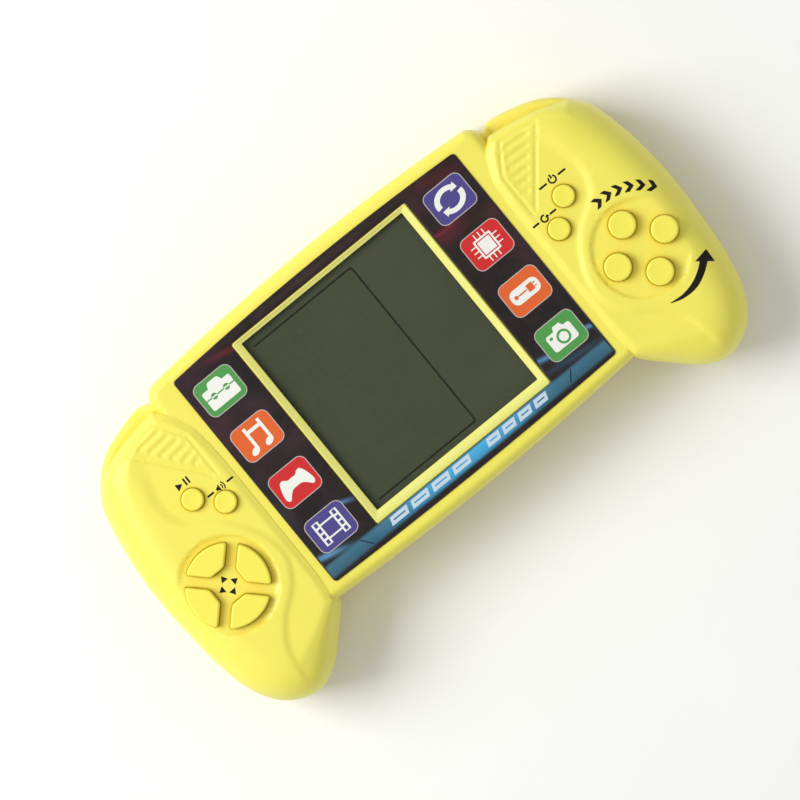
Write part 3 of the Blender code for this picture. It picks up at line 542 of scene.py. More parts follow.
def skin(height, rim_z, holes, eased_edge, loose, flip):
    """One shell's outer surface. A hole is its plan ring, its wall's depth and whether that is closed."""
    rings = case_rings()
    for ring, _, _ in holes:
        rings += [inset(ring, -by) for by in (0.0, 0.08, 0.2, eased_edge)]
    loose = clear_of(np.vstack(loose), rings, 0.3)
    plan, faces = triangulated(rings, loose[footprint(loose) > 0.3])
    inside = footprint(plan)
    middles = plan[faces].mean(1)
    keep = (inside[faces].min(1) > -SKIRT * 1.5) & (footprint(middles) > -SKIRT * 0.9)
    hole_edge = np.full(len(plan), 99.0)
    for ring, _, _ in holes:
        keep &= near_ring(middles, ring) < 0
        hole_edge = np.minimum(hole_edge, np.abs(near_ring(plan, ring)))
    into = 1.0 if flip else -1.0
    z = height(plan) + into * HOLE_EASE * (1 - np.clip(hole_edge / eased_edge, 0, 1)) ** 2
    z = np.where(inside < SKIRT * 0.2, rim_z, z)
    faces = faces[keep]
    bm = height_field(plan, z, faces[:, ::-1] if flip else faces)
    rim_world = ORIGIN.z + rim_z * MM
    rim, hole_edges = [], []
    for e in boundary(bm.edges):
        at_rim = all(abs(v.co.z - rim_world) < 1e-6 for v in e.verts)
        (rim if at_rim else hole_edges).append(e)
    add_lip(bm, rim)
    add_hole_walls(bm, hole_edges, holes, into)
    return mesh_of(bm)


def add_lip(bm, rim):
    """Turns the rim inwards."""
    lip, _ = extruded(bm, rim)
    plan = np.array([in_game(v.co)[:2] for v in lip])
    slope = np.stack([footprint(plan + by) - footprint(plan - by) for by in np.eye(2) * NUDGE], axis=1)
    slope /= np.hypot(*slope.T)[:, None] + 1e-9
    for v, (dx, dy) in zip(lip, slope):
        v.co.x += dx * LIP_WIDTH * MM
        v.co.y += dy * LIP_WIDTH * MM


def add_hole_walls(bm, edges, holes, into):
    """Extrudes each hole's edge through the shell, and closes the blind ones."""
    middles = np.array([in_game((e.verts[0].co + e.verts[1].co) / 2)[:2] for e in edges])
    for ring, depth, closed in holes:
        own = [e for e, away in zip(edges, near_ring(middles, ring)) if abs(away) < 0.05]
        foot, made = extruded(bm, own)
        level = max(v.co.z for v in foot) if into > 0 else min(v.co.z for v in foot)
        for v in foot:
            v.co.z = level + into * depth * MM
        if closed:
            bmesh.ops.edgeloop_fill(bm, edges=boundary(made))


def feature_points():
    """Loose points: coarse on the flat middle, finer on the grips and finest on the ornament."""
    fine = grid(GRIP_AREA, 0.62)
    ribs = grid((49.3, 6.4, 66.6, 27.4), 0.24)
    plain = fine[(fine[:, 0] < 49.1) | (fine[:, 0] > 66.8) | (fine[:, 1] < 6.2) | (fine[:, 1] > 27.6)]
    coarse = grid(CENTRE_AREA, 2.0)
    return [plain, plain * [-1, 1], coarse, ribs, ribs * [-1, 1]]


def key_holes():
    rings = [circle(at, ACTION_RADIUS + KEY_GAP, 64) for at in ACTION.values()]
    rings += [circle(at, SMALL_RADIUS + KEY_GAP, 56) for at in SMALL.values()]
    rings += [wedge(quarter, KEY_GAP) for quarter in range(4)]
    return [(ring, KEY_WELL, False) for ring in rings]


def front_shell(material):
    holes = [*key_holes(), (rounded_box(grown(FRAME, -0.6), 1.0), 1.0, False)]
    mesh = skin(front_height, PART_LINE_Z + SEAM, holes, 0.35, feature_points(), False)
    shell = finished("front_shell_skin", mesh, material)
    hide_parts("front_shell")


def rear_holes():
    holes = [(rounded_box(grown(DOOR, DOOR_GAP), DOOR_CORNER), SHELL_WALL, False)]
    holes += [(circle(at, WELL_RADIUS, 40), at.z, True) for at in SCREW_SEATS]
    vents = [SOUNDER] + [SOUNDER + Vector((*arc((0, 0), VENT_RING, 60 * k, 0, 1)[0], 0)) for k in range(6)]
    return holes + [(circle(at, VENT_RADIUS, 20), SHELL_WALL, False) for at in vents]


def rear_shell(material):
    fine = grid(GRIP_AREA, 0.9)
    coarse = grid(CENTRE_AREA, 2.4)
    mesh = skin(rear_height, PART_LINE_Z - SEAM, rear_holes(), 0.3, [fine, fine * [-1, 1], coarse], True)
    shell = finished("rear_shell_skin", mesh, material)
    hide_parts("rear_shell")


def battery_bay(material):
    """Compartment behind the door, seen when that is open."""
    mouth = rounded_box(grown(DOOR, DOOR_GAP), DOOR_CORNER, 8)
    bay = rounded_box(BAY, DOOR_CORNER, 8)
    levels = ((mouth, SHELL_WALL + HOLE_EASE), (bay, SHELL_WALL + HOLE_EASE), (bay, BAY_CEILING_Z))
    finished("battery_bay", lofted([at_height(r, z)[::-1] for r, z in levels]), material)


def door_face(points):
    """Depth of the door's outer face: grip ridges and an arrow that points where it slides open."""
    cuts = [groove(points, (-8.0, y), (8.0, y), 0.45, 0.25, 0.75) for y in 6.6 + 1.7 * np.arange(5)]
    cuts += [groove(points, (0.0, -5.5), (x, -1.5), 0.4, 0.45, 0.75) for x in (-4.0, 4.0)]
    return np.max(cuts, axis=0)


def battery_door(material):
    ring = rounded_box(DOOR, DOOR_CORNER)
    rings = [inset(ring, by) for by in (0.0, 0.12, 0.35, 0.7)]
    patch = np.vstack([grid((-9.5, 5.4, 9.5, 14.6), 0.3), grid((-5.6, -7.0, 5.6, -0.4), 0.3)])
    plan, faces = triangulated(rings, np.vstack([patch, grid(grown(DOOR, -1), 2.0)]))
    edge = near_ring(plan, ring)
    ease = 0.35 * (1 - np.sqrt(1 - (1 - np.clip(edge / 0.7, 0, 1)) ** 2))
    bm = height_field(plan, DOOR_LOW.z + np.maximum(ease, 0) + door_face(plan), faces[:, ::-1])
    inner, made = extruded(bm, boundary(bm.edges))
    for v in inner:
        v.co.z = ORIGIN.z + (DOOR_LOW.z + DOOR_THICK) * MM
    bmesh.ops.edgeloop_fill(bm, edges=boundary(made))
    _, y0, _, y1 = DOOR
    for x in (-HOOK_X, HOOK_X):
        add_block(bm, (x - 3.0, y0, x + 3.0, y0 + 2.2), DOOR_THICK - 0.4, 3.3)
        add_block(bm, (x - 3.0, y0 - 1.8, x + 3.0, y0 + 1.2), 2.35, 3.3)
    add_block(bm, (-5.0, y1 - 1.9, 5.0, y1 - 0.7), DOOR_THICK - 0.4, 6.0)
    door = finished("battery_door_plate", mesh_of(bm), material, "battery_door")
    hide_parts("battery_door")


def add_block(bm, box, z0, z1):
    """Rounded block, joined to what the bmesh already holds."""
    levels = ((BLOCK_EASE, z0), (0.0, z0 + BLOCK_EASE), (0.0, z1 - BLOCK_EASE), (BLOCK_EASE, z1))
    rings = [at_height(rounded_box(grown(box, -d), 0.3, 3), z) for d, z in levels]
    bm.from_mesh(lofted(rings, cap_bottom=True))


def lofted(rings, cap_top=True, cap_bottom=False):
    """Skin through rings of (N, 3) points, with the named ends filled."""
    count = len(rings[0])
    faces = []
    for low in range(0, (len(rings) - 1) * count, count):
        high = low + count
        faces += [(low + k, low + (k + 1) % count, high + (k + 1) % count, high + k) for k in range(count)]
    if cap_bottom:
        faces.append(list(range(count))[::-1])
    if cap_top:
        faces.append(list(range((len(rings) - 1) * count, len(rings) * count)))
    return mesh_from(np.vstack(rings), faces)


def at_height(ring, z):
    return np.column_stack([ring[:, :2], np.full(len(ring), z)])


def window_frame(material):
    """Raised frame round the window, with eased edges and a ledge for the clear sheet."""
    brink = FRAME_TOP_Z - FRAME_FALL
    outer = ((0.0, FACE_Z - 0.2), (0.02, FRAME_TOP_Z - 0.28), (0.1, FRAME_TOP_Z - 0.1), (0.3, FRAME_TOP_Z))
    inner = ((0.8, mix(brink, FRAME_TOP_Z, 0.38)), (0.22, brink), (0.06, brink - 0.08), (0.01, brink - 0.24),
             (0.0, LENS_HIGH.z + 0.06), (1.2, LENS_HIGH.z + 0.05))
    rings = [at_height(rounded_box(grown(FRAME, -d), 0.6 - d * 0.8), z) for d, z in outer]
    rings += [at_height(rounded_box(grown(WINDOW, d), 0.25 + d * 0.3), z) for d, z in inner]
    finished("window_frame", lofted(rings, cap_top=False), material)


def key_mesh(node, plan, dish=None):
    """A key from its plan ring function: flange, shaft and eased cap. A dish is its depth and width."""
    low, high = node_box(node)
    top, ease = high.z, 0.5
    flange = DISH_Z - KEY_WELL - 0.35
    rings = [at_height(plan(0.8), low.z), at_height(plan(0.8), flange), at_height(plan(0.0), flange)]
    for a in np.linspace(0, pi / 2, 7):
        rings.append(at_height(plan(-ease * (1 - cos(a))), top - ease * (1 - sin(a))))
    if dish:
        depth, width = dish
        for share in (0.75, 0.5, 0.25):
            rings.append(at_height(plan(-ease - width * (1 - share)), top - depth * (1 - share**2)))
    else:
        rings.append(at_height(plan(-ease * 1.5), top))
    return lofted(rings, cap_bottom=True)


def keys(material):
    plans = {}
    for name, at in ACTION.items():
        plans[f"action_key_{name}"] = (lambda grow, at=at: circle(at, ACTION_RADIUS + grow, 56), (0.1, 2.6))
    for quarter, name in enumerate(("right", "up", "left", "down")):
        plans[f"dpad_key_{name}"] = (lambda grow, quarter=quarter: wedge(quarter, grow), None)
    for name, at in SMALL.items():
        plans[name] = (lambda grow, at=at: circle(at, SMALL_RADIUS + grow, 48), (0.08, 2.0))
    for node, (plan, dish) in plans.items():
        cap = finished(f"{node}_cap", key_mesh(node, plan, dish), material, node)
        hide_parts(node)


def keypad_outline(side):
    corners = [(52.5, -27.5), (77.0, -27.5), (77.0, -5.0), (63.8, -1.5), (63.8, 10.3), (56.0, 10.3),
               (49.0, 4.0), (49.0, -3.5), (52.5, -4.5)]
    ring = eased(resampled(corners, 0.3), 1.0)
    return ring if side > 0 else mirrored(ring)


def dome(key, web_top, rubber):
    """Rubber dome that props one key up."""
    at, top = node_middle(key), node_box(key)[0].z - 0.1
    if key.startswith("dpad"):
        at = Vector((*(np.array(PAD_CENTRE) + 0.97 * (np.array(at[:2]) - PAD_CENTRE)), 0.0))
    profile = [(3.2, web_top - 0.05), (2.95, web_top + 0.1), (2.75, web_top + 0.5), (2.5, top - 0.35),
               (2.35, top - 0.1), (2.1, top), (1.6, top)]
    mesh = lofted([at_height(circle(at, r, 32), z) for r, z in profile])
    item = finished(f"{key}_dome", mesh, rubber)
    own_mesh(item)


def keypads(rubber):
    """Silicone sheets on the board, with a dome under each key."""
    for side, name in ((1, "right"), (-1, "left")):
        foot = node_box(f"keypad_{name}")[0].z
        web_top = foot + WEB_THICK
        ring = keypad_outline(side)
        levels = ((0.15, foot), (0.0, foot + 0.15), (0.0, web_top - 0.15), (0.15, web_top), (0.5, web_top))
        mesh = lofted([at_height(inset(ring, d), z) for d, z in levels], cap_bottom=True)
        web = finished(f"keypad_{name}_web", mesh, rubber)
        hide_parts(f"keypad_{name}")
        for key in KEYPAD_KEYS[name]:
            dome(key, web_top, rubber)


def backing_pad(foam):
    """Foam pressed between the display and the board, so its sides bulge."""
    low, high = node_box("lcd_backing_pad")
    rings = []
    for share in np.linspace(0.0, 1.0, 7):
        ring = rounded_box(grown(plan_box(low, high), -0.5 * (2 * share - 1) ** 2), 1.2)
        rings.append(at_height(ring, mix(low.z, high.z, share)))
    rings.append(at_height(inset(rings[-1], 0.5), high.z))
    pad = finished("foam_backing_pad", lofted(rings, cap_bottom=True), foam)
    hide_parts("lcd_backing_pad")


# ---------------------------------------------------------------- prints

INK, INK_STEP = 0.03, 0.003  # a print's thickness, and how far one shape lies over the last


def linear(colour):
    """An sRGB colour out of 255 as linear light."""
    c = np.asarray(colour, float) / 255
    return np.where(c <= 0.04045, c / 12.92, ((c + 0.055) / 1.055) ** 2.4)


def paint(mesh, colours):
    """Stores one linear colour per vertex, which the print materials read."""
    layer = mesh.color_attributes.new("print", "FLOAT_COLOR", "POINT")
    layer.data.foreach_set("color", np.column_stack([colours, np.ones(len(colours))]).ravel())


def printed(name, shapes, material, level, pitch=None):
    """A thin raised print. A shape is its rings, filled where an odd number overlap, and its colour."""
    bm = bmesh.new()
    tint = bm.verts.layers.float_color.new("print")
    for number, (rings, colour) in enumerate(shapes):
        rings = [resampled(r, pitch) if pitch else np.asarray(r, float) for r in rings]
        loose = []
        if pitch:
            outer = np.vstack(rings)
            loose = clear_of(grid((*outer.min(0), *outer.max(0)), 2 * pitch), rings, pitch)
        plan, faces = triangulated(rings, loose)
        middles = plan[faces].mean(1)
        odd = sum((ring_distance(middles, r) > 0).astype(int) for r in rings) % 2 == 1
        height = level(plan) if callable(level) else np.full(len(plan), level)
        points = to_world(np.column_stack([plan, height + INK + INK_STEP * (number % 5)]))
        verts = [bm.verts.new(p) for p in points.tolist()]
        for v in verts:
            v[tint] = (*linear(colour), 1.0)
        for face in faces[odd]:
            bm.faces.new([verts[k] for k in face])
    foot, _ = extruded(bm, boundary(bm.edges))
    for v in foot:
        v.co.z -= 1.5 * INK * MM
    finished(name, mesh_of(bm), material)


def bar(x0, y0, x1, y1, radius=0.0):
    if radius:
        return rounded_box((x0, y0, x1, y1), radius, 4)
    return np.array([(x0, y0), (x1, y0), (x1, y1), (x0, y1)])


def sweep_arrow(radius, width, start, end, head):
    """Arc arrow from start to end degrees, with a head of the given length and breadth."""
    middle = (0.0, 0.0)
    ring = arc(middle, radius + width / 2, start, end) + arc(middle, radius - width / 2, end, start)
    a, way = radians(end), np.sign(end - start)
    out, along = np.array([cos(a), sin(a)]), np.array([-sin(a), cos(a)]) * way
    foot, (long, broad) = out * radius, head
    return [ring], [[foot + out * broad / 2, foot - out * broad / 2, foot + along * long]]


def toolbox():
    box = [bar(-4.3, -3.2, 4.3, 2.1, 0.5), bar(-4.3, -0.35, 4.3, 0.0)]
    box += [circle((x, -0.15), 0.85, 24) for x in (-1.9, 1.9)]
    handle = np.array([(-2.2, 2.0), (2.2, 2.0), (1.7, 3.2), (1.2, 3.5), (-1.2, 3.5), (-1.7, 3.2)])
    return [box, [handle]]


def double_note():
    turns = np.linspace(0, tau, 20, endpoint=False)
    heads = [[[(x + 1.25 * cos(a), -2.7 + 0.95 * sin(a + 0.35)) for a in turns]] for x in (-2.5, 1.8)]
    stems = [[bar(x, -2.6, x + 0.85, 3.5)] for x in (-2.1, 2.2)]
    return [*heads, *stems, [bar(-2.1, 1.6, 3.05, 2.5)]]


def gamepad():
    half = [(0.0, 1.5), (1.2, 1.5), (2.2, 2.2), (3.3, 1.9), (4.2, -0.4), (4.4, -2.3), (3.6, -3.0),
            (2.5, -1.9), (1.4, -1.1), (0.0, -1.0)]
    other = [(-x, y) for x, y in half[-2:0:-1]]
    return [[curve_through([*half, *other, half[0]], 4)[:-1]]]


def film_strip():
    rings = [bar(-3.8, -3.25, 3.8, 3.25)]
    rings += [bar(-1.9, y0, 1.9, y1) for y0, y1 in ((-3.25, -2.15), (-1.7, 1.7), (2.15, 3.25))]
    holes = [(x, y) for x in (-2.85, 2.85) for y in (-2.45, -0.8, 0.8, 2.45)]
    return [rings + [bar(x - 0.45, y - 0.55, x + 0.45, y + 0.55) for x, y in holes]]


def refresh():
    arrows = [*sweep_arrow(2.85, 1.25, 192, 52, (1.3, 2.4)), *sweep_arrow(2.85, 1.25, 12, -128, (1.3, 2.4))]
    return [[np.asarray(ring) * (1.2, 1.0) for ring in shape] for shape in arrows]


def chip():
    shapes = [[bar(-2.6, -2.6, 2.6, 2.6, 0.3), bar(-2.1, -2.1, 2.1, 2.1, 0.2)],
              [bar(-1.8, -1.8, 1.8, 1.8, 0.2)]]
    for quarter in range(4):
        for across in (-1.3, 0.0, 1.3):
            shapes.append([turned_ring(bar(across - 0.15, 2.6, across + 0.15, 4.0), 90 * quarter)])
    return shapes


def connector():
    plug = [circle((-2.7, 0.0), 0.55, 14), bar(-2.1, -0.2, 0.6, 0.2), bar(0.75, -1.0, 2.6, 1.0, 0.3),
            bar(2.7, 0.3, 3.3, 0.65), bar(2.7, -0.65, 3.3, -0.3)]
    return [[bar(-4.2, -2.0, 4.2, 2.0, 1.6), *plug]]


def camera_icon():
    body = [bar(-3.7, -2.7, 3.7, 1.9, 0.7), circle((0.4, -0.5), 1.85, 28), circle((0.4, -0.5), 1.25, 24),
            bar(-3.0, 0.5, -2.0, 1.2, 0.3)]
    hump = [np.array([(-1.2, 1.7), (2.0, 1.7), (1.4, 3.0), (-0.6, 3.0)])]
    return [body, hump]


GREEN, ORANGE, RED, VIOLET = (80, 154, 76), (224, 100, 44), (206, 42, 42), (78, 70, 136)
ICONS = {
    -1: ((GREEN, toolbox), (ORANGE, double_note), (RED, gamepad), (VIOLET, film_strip)),
    1: ((VIOLET, refresh), (RED, chip), (ORANGE, connector), (GREEN, camera_icon)),
}
ICON_X, ICON_Y = 36.9, (23.0, 8.55, -6.2, -20.3)
ICON_STEP = 0.3  # the right column sits this much above the middle and the left one below
ICON_SIZE, ICON_CORNER, ICON_RIM = (11.6, 9.6), 2.0, 0.22
RIM_GREY, SIGN_WHITE = (188, 178, 172), (238, 239, 230)


def label_icons(ink):
    """Tiles with a pale rim, and a white pictogram on each."""
    top = PANEL_HIGH.z
    half = np.array(ICON_SIZE) / 2
    tiles, rims, signs = [], [], []
    for side, icons in ICONS.items():
        for y, (colour, draw) in zip(ICON_Y, icons):
            at = np.array([side * ICON_X, y + side * ICON_STEP])
            outer = rounded_box((*(at - half), *(at + half)), ICON_CORNER)
            inner = inset(outer, ICON_RIM)
            tiles.append(([inner], colour))
            rims.append(([outer, inner], RIM_GREY))
            signs += [([np.asarray(r, float) + at for r in rings], SIGN_WHITE) for rings in draw()]
    printed("label_tiles", tiles, ink, top)
    printed("label_tile_rims", rims, ink, top)
    printed("label_pictograms", signs, ink, top + INK)


def label_bars(ink):
    """Row of slanted pale bars along the blue strip, and a thin dark line by each end of it."""
    shapes = []
    for start, pitch, wide in ((-25.0, 6.6, 5.3), (5.6, 5.0, 3.9)):
        for x in (start + k * pitch for k in range(4)):
            slant = [(x, -30.1), (x + wide, -30.1), (x + wide + 0.7, -28.0), (x + 0.7, -28.0)]
            slit = [(x + 1.1, -29.25), (x + wide - 0.5, -29.25), (x + wide - 0.35, -28.85),
                    (x + 1.25, -28.85)]
            shapes.append(([slant, slit], (196, 214, 226)))
    for side in (-1, 1):
        line = [(31.2 * side, -30.5), (31.5 * side, -30.5), (33.6 * side, -27.7), (33.3 * side, -27.7)]
        shapes.append(([line], (20, 32, 40)))
    printed("label_bars", shapes, ink, PANEL_HIGH.z)


def panel_ring():
    """Printed panel: straight sides, slightly bowed top and bottom."""
    corner = 1.0
    side = PANEL_HIGH.x - corner
    top, rise, bottom, drop = PANEL_HIGH.y - 1.3, 1.3, PANEL_LOW.y + 0.7, 0.7
    ring = [(u * side, bottom - drop * (1 - u * u)) for u in np.linspace(-1, 1, 41)]
    ring += arc((side, bottom + corner), corner, -80, -10, 6)
    ring += arc((side, top - corner), corner, 10, 80, 6)
    ring += [(u * side, top + rise * (1 - u * u)) for u in np.linspace(1, -1, 41)]
    ring += arc((-side, top - corner), corner, 100, 170, 6)
    ring += arc((-side, bottom + corner), corner, 190, 260, 6)
    return np.array(ring)


def glow(plan, at, long, wide, degrees):
    """Soft stretched spot, 1 at its middle."""
    along, across = turned_ring(plan - np.array(at), -degrees).T
    return np.exp(-((along / long) ** 2) - (across / wide) ** 2)


LABEL_GLOWS = [
    ((-31.0, 29.5), 6.0, 0.8, -12, (110, 34, 42), 0.6), ((-44.0, 14.0), 7.0, 6.0, 60, (66, 40, 48), 0.8),
    ((-40.0, 30.0), 8.0, 3.0, 20, (52, 32, 45), 0.7), ((-33.0, 15.5), 5.0, 2.0, -40, (58, 40, 46), 0.6),
    ((-30.0, 1.5), 4.0, 6.0, 80, (60, 42, 46), 0.55), ((-41.0, 1.0), 5.0, 3.0, 30, (54, 36, 40), 0.6),
    ((30.0, 18.2), 4.5, 0.45, -4, (150, 40, 52), 0.75), ((31.0, 17.0), 6.0, 2.2, -4, (96, 34, 43), 0.6),
    ((38.0, 29.5), 8.0, 2.0, -14, (78, 30, 34), 0.75), ((43.5, 3.0), 3.0, 9.0, 0, (64, 40, 48), 0.6),
    ((29.5, 27.0), 3.0, 3.0, 0, (70, 38, 42), 0.6), ((44.0, 15.0), 3.0, 2.0, 30, (84, 40, 45), 0.5),
    ((-42.0, -25.6), 5.0, 0.7, -14, (96, 152, 188), 0.95),
    ((-31.0, -17.6), 3.0, 0.5, -20, (88, 130, 178), 0.8),
    ((30.0, -21.8), 4.5, 0.6, -12, (86, 144, 184), 0.85),
    ((44.0, -22.6), 3.0, 0.5, -14, (92, 150, 190), 0.85),
    ((36.0, -26.0), 9.0, 0.8, -6, (58, 104, 132), 0.35), ((0.0, 31.4), 26.0, 0.7, 0, (58, 44, 39), 0.7),
    ((-44.0, -12.0), 2.0, 5.0, 0, (46, 44, 51), 0.7),
]


def label_colours(plan):
    """Night-dark ground with streaks of light, and a blue strip along the bottom."""
    x, y = plan.T
    colour = np.tile(linear((32, 27, 26)), (len(plan), 1))
    for at, long, wide, degrees, tint, strength in LABEL_GLOWS:
        colour = mix(colour, linear(tint), strength * glow(plan, at, long, wide, degrees)[:, None])
    strip = step(-31.3, -30.4, y) * (1 - step(-27.9, -27.1, y))
    middle = 1 - step(0.1, 0.72, np.abs(x) / 44.8)
    blue = mix(linear((56, 104, 124)), linear((70, 166, 212)), middle[:, None])
    blue *= (0.82 + 0.3 * step(-30.8, -28.0, y))[:, None]
    return mix(colour, blue, strip[:, None])


def label_panel(ink):
    outline = panel_ring()
    hole = rounded_box(grown(FRAME, 0.15), 0.7)
    rings = [outline, inset(outline, 0.06), inset(outline, 0.18), hole, inset(hole, -0.1)]
    loose = clear_of(grid((*PANEL_LOW[:2], *PANEL_HIGH[:2]), 0.42), rings, 0.2)
    plan, faces = triangulated(rings, loose[near_ring(loose, hole) < -0.2])
    middles = plan[faces].mean(1)
    faces = faces[(near_ring(middles, hole) < 0) & (ring_distance(middles, outline) > 0)]
    edge = np.minimum(ring_distance(plan, outline), np.abs(near_ring(plan, hole)))
    bm = height_field(plan, PANEL_HIGH.z - 0.08 * (1 - np.clip(edge / 0.18, 0, 1)) ** 2, faces)
    foot, _ = extruded(bm, boundary(bm.edges))
    for v in foot:
        v.co.z = ORIGIN.z + PANEL_LOW.z * MM
    mesh = mesh_of(bm)
    paint(mesh, label_colours(np.array([in_game(v.co)[:2] for v in mesh.vertices])))
    sheet = finished("label_sheet", mesh, ink)
    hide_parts("label_panel")


def dashes(reach, length=1.7, thick=0.42):
    """Short bars on both sides of a mark."""
    return [[bar(side * reach - length / 2, -thick / 2, side * reach + length / 2, thick / 2, 0.15)]
            for side in (-1, 1)]


def power_mark():
    ring = arc((0.0, 0.0), 0.95, 125, 415, 24) + arc((0.0, 0.0), 0.6, 415, 125, 24)
    return [[ring], [bar(-0.18, 0.2, 0.18, 1.15)], *dashes(2.4, 2.0)]


def reset_mark():
    return [*sweep_arrow(0.7, 0.36, 60, 350, (0.6, 1.1)), *dashes(2.2)]


def play_pause_mark():
    triangle = [(-1.5, -0.8), (-0.1, 0.0), (-1.5, 0.8)]
    return [[triangle], *([bar(x, -0.8, x + 0.38, 0.8)] for x in (0.4, 1.15))]


def speaker_mark():
    body = [(-1.0, -0.3), (-0.6, -0.3), (-0.1, -0.8), (-0.1, 0.8), (-0.6, 0.3), (-1.0, 0.3)]
    at = (-0.2, 0.0)
    waves = [[arc(at, r + 0.12, -48, 48, 10) + arc(at, r - 0.12, 48, -48, 10)] for r in (0.65, 1.15)]
    return [[body], *waves, *dashes(2.5)]


MARKS = ((power_mark, (59.5, 11.2)), (reset_mark, (51.9, 4.9)), (play_pause_mark, (-58.6, 10.8)),
         (speaker_mark, (-51.9, 4.3)))
MARK_SIZE, MARK_BLACK = 1.22, (22, 17, 10)
# six chevrons: the first one's direction and the angle between two, in degrees, and their distance
CHEVRON_TURN, CHEVRON_PITCH, CHEVRON_REACH = 94.6, 10.7, 15.5


def shell_marks(ink):
    """Black marks by the small keys, round the action keys and in the middle of the four-way pad."""
    shapes = []
    for draw, at in MARKS:
        shapes += [[np.asarray(r, float) * MARK_SIZE + at for r in rings] for rings in draw()]
    chevron = [(-1.3, 1.35), (0.0, 1.35), (1.35, 0.0), (0.0, -1.35), (-1.3, -1.35), (0.05, 0.0)]
    for turn in (CHEVRON_TURN - CHEVRON_PITCH * k for k in range(6)):
        shapes.append([turned_ring(chevron, turn - 90, arc(CLUSTER, CHEVRON_REACH, turn, turn, 1)[0])])
    upper = curve_through([(62.8, -30.75), (66.5, -31.0), (70.0, -30.3), (72.8, -28.9), (74.9, -27.3)], 6)
    lower = curve_through([(76.4, -28.5), (73.6, -30.5), (70.2, -31.9), (66.3, -32.0), (62.8, -30.95)], 6)
    shapes += [[[*upper, *lower]], [[(73.9, -26.7), (77.9, -26.0), (77.7, -29.7)]]]
    triangle = [(-0.95, 1.4), (0.95, 1.4), (0.0, 2.95)]
    shapes += [[turned_ring(triangle, 90 * k, PAD_CENTRE)] for k in range(4)]
    printed("shell_marks", [(rings, MARK_BLACK) for rings in shapes], ink, front_height, 0.3)


# ---------------------------------------------------------------- screen

PLAYFIELD = (-23.7, -23.1, 7.5, 26.1)
CELLS = (10, 20)
CELL_RINGS = (0.46, 0.38, 0.26)  # half sizes of a cell's three squares, as shares of its pitch


def slab(name, low, high, radius, ease, material):
    """Sheet with eased edges that fills a box."""
    z0, z1 = low.z, high.z
    levels = ((ease, z0), (0.0, z0 + ease), (0.0, z1 - ease), (ease * 0.3, z1 - ease * 0.3), (ease, z1),
              (ease * 2, z1))
    rings = [at_height(rounded_box(grown(plan_box(low, high), -d), radius, 4), z) for d, z in levels]
    return finished(name, lofted(rings, cap_bottom=True), material)


def plan_box(low, high):
    return (low.x, low.y, high.x, high.y)


def screen(lcd, lens, ink):
    cell = slab("lcd_cell", GLASS_LOW, GLASS_HIGH, 0.4, 0.15, lcd)
    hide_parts("lcd_panel")
    sheet = slab("clear_window", LENS_LOW, LENS_HIGH, 0.8, 0.1, lens)
    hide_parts("screen_window")
    x0, y0, x1, y1 = PLAYFIELD
    outer, inner = rounded_box(PLAYFIELD, 0.9, 5), rounded_box((x0, y0 + 0.5, x1 - 0.5, y1 - 0.5), 0.6, 5)
    right = len(outer) // 2
    border = [(x0, y0), *outer[:right], (x0, y1), (x0, y1 - 0.5), *inner[:right][::-1], (x0, y0 + 0.5)]
    printed("playfield_border", [([border], (36, 35, 25))], ink, GLASS_HIGH.z)
    shapes = []
    columns, rows = CELLS
    wide, tall = (x1 - x0 - 2.0) / columns, (y1 - y0 - 2.0) / rows
    for column in range(columns):
        for row in range(rows):
            cx, cy = x0 + 1.0 + wide * (column + 0.5), y0 + 1.0 + tall * (row + 0.5)
            rings = [bar(cx - wide * k, cy - tall * k, cx + wide * k, cy + tall * k) for k in CELL_RINGS]
            shapes.append((rings, (79, 84, 62)))
    printed("playfield_cells", shapes, ink, GLASS_HIGH.z - INK * 0.4)


# ---------------------------------------------------------------- materials

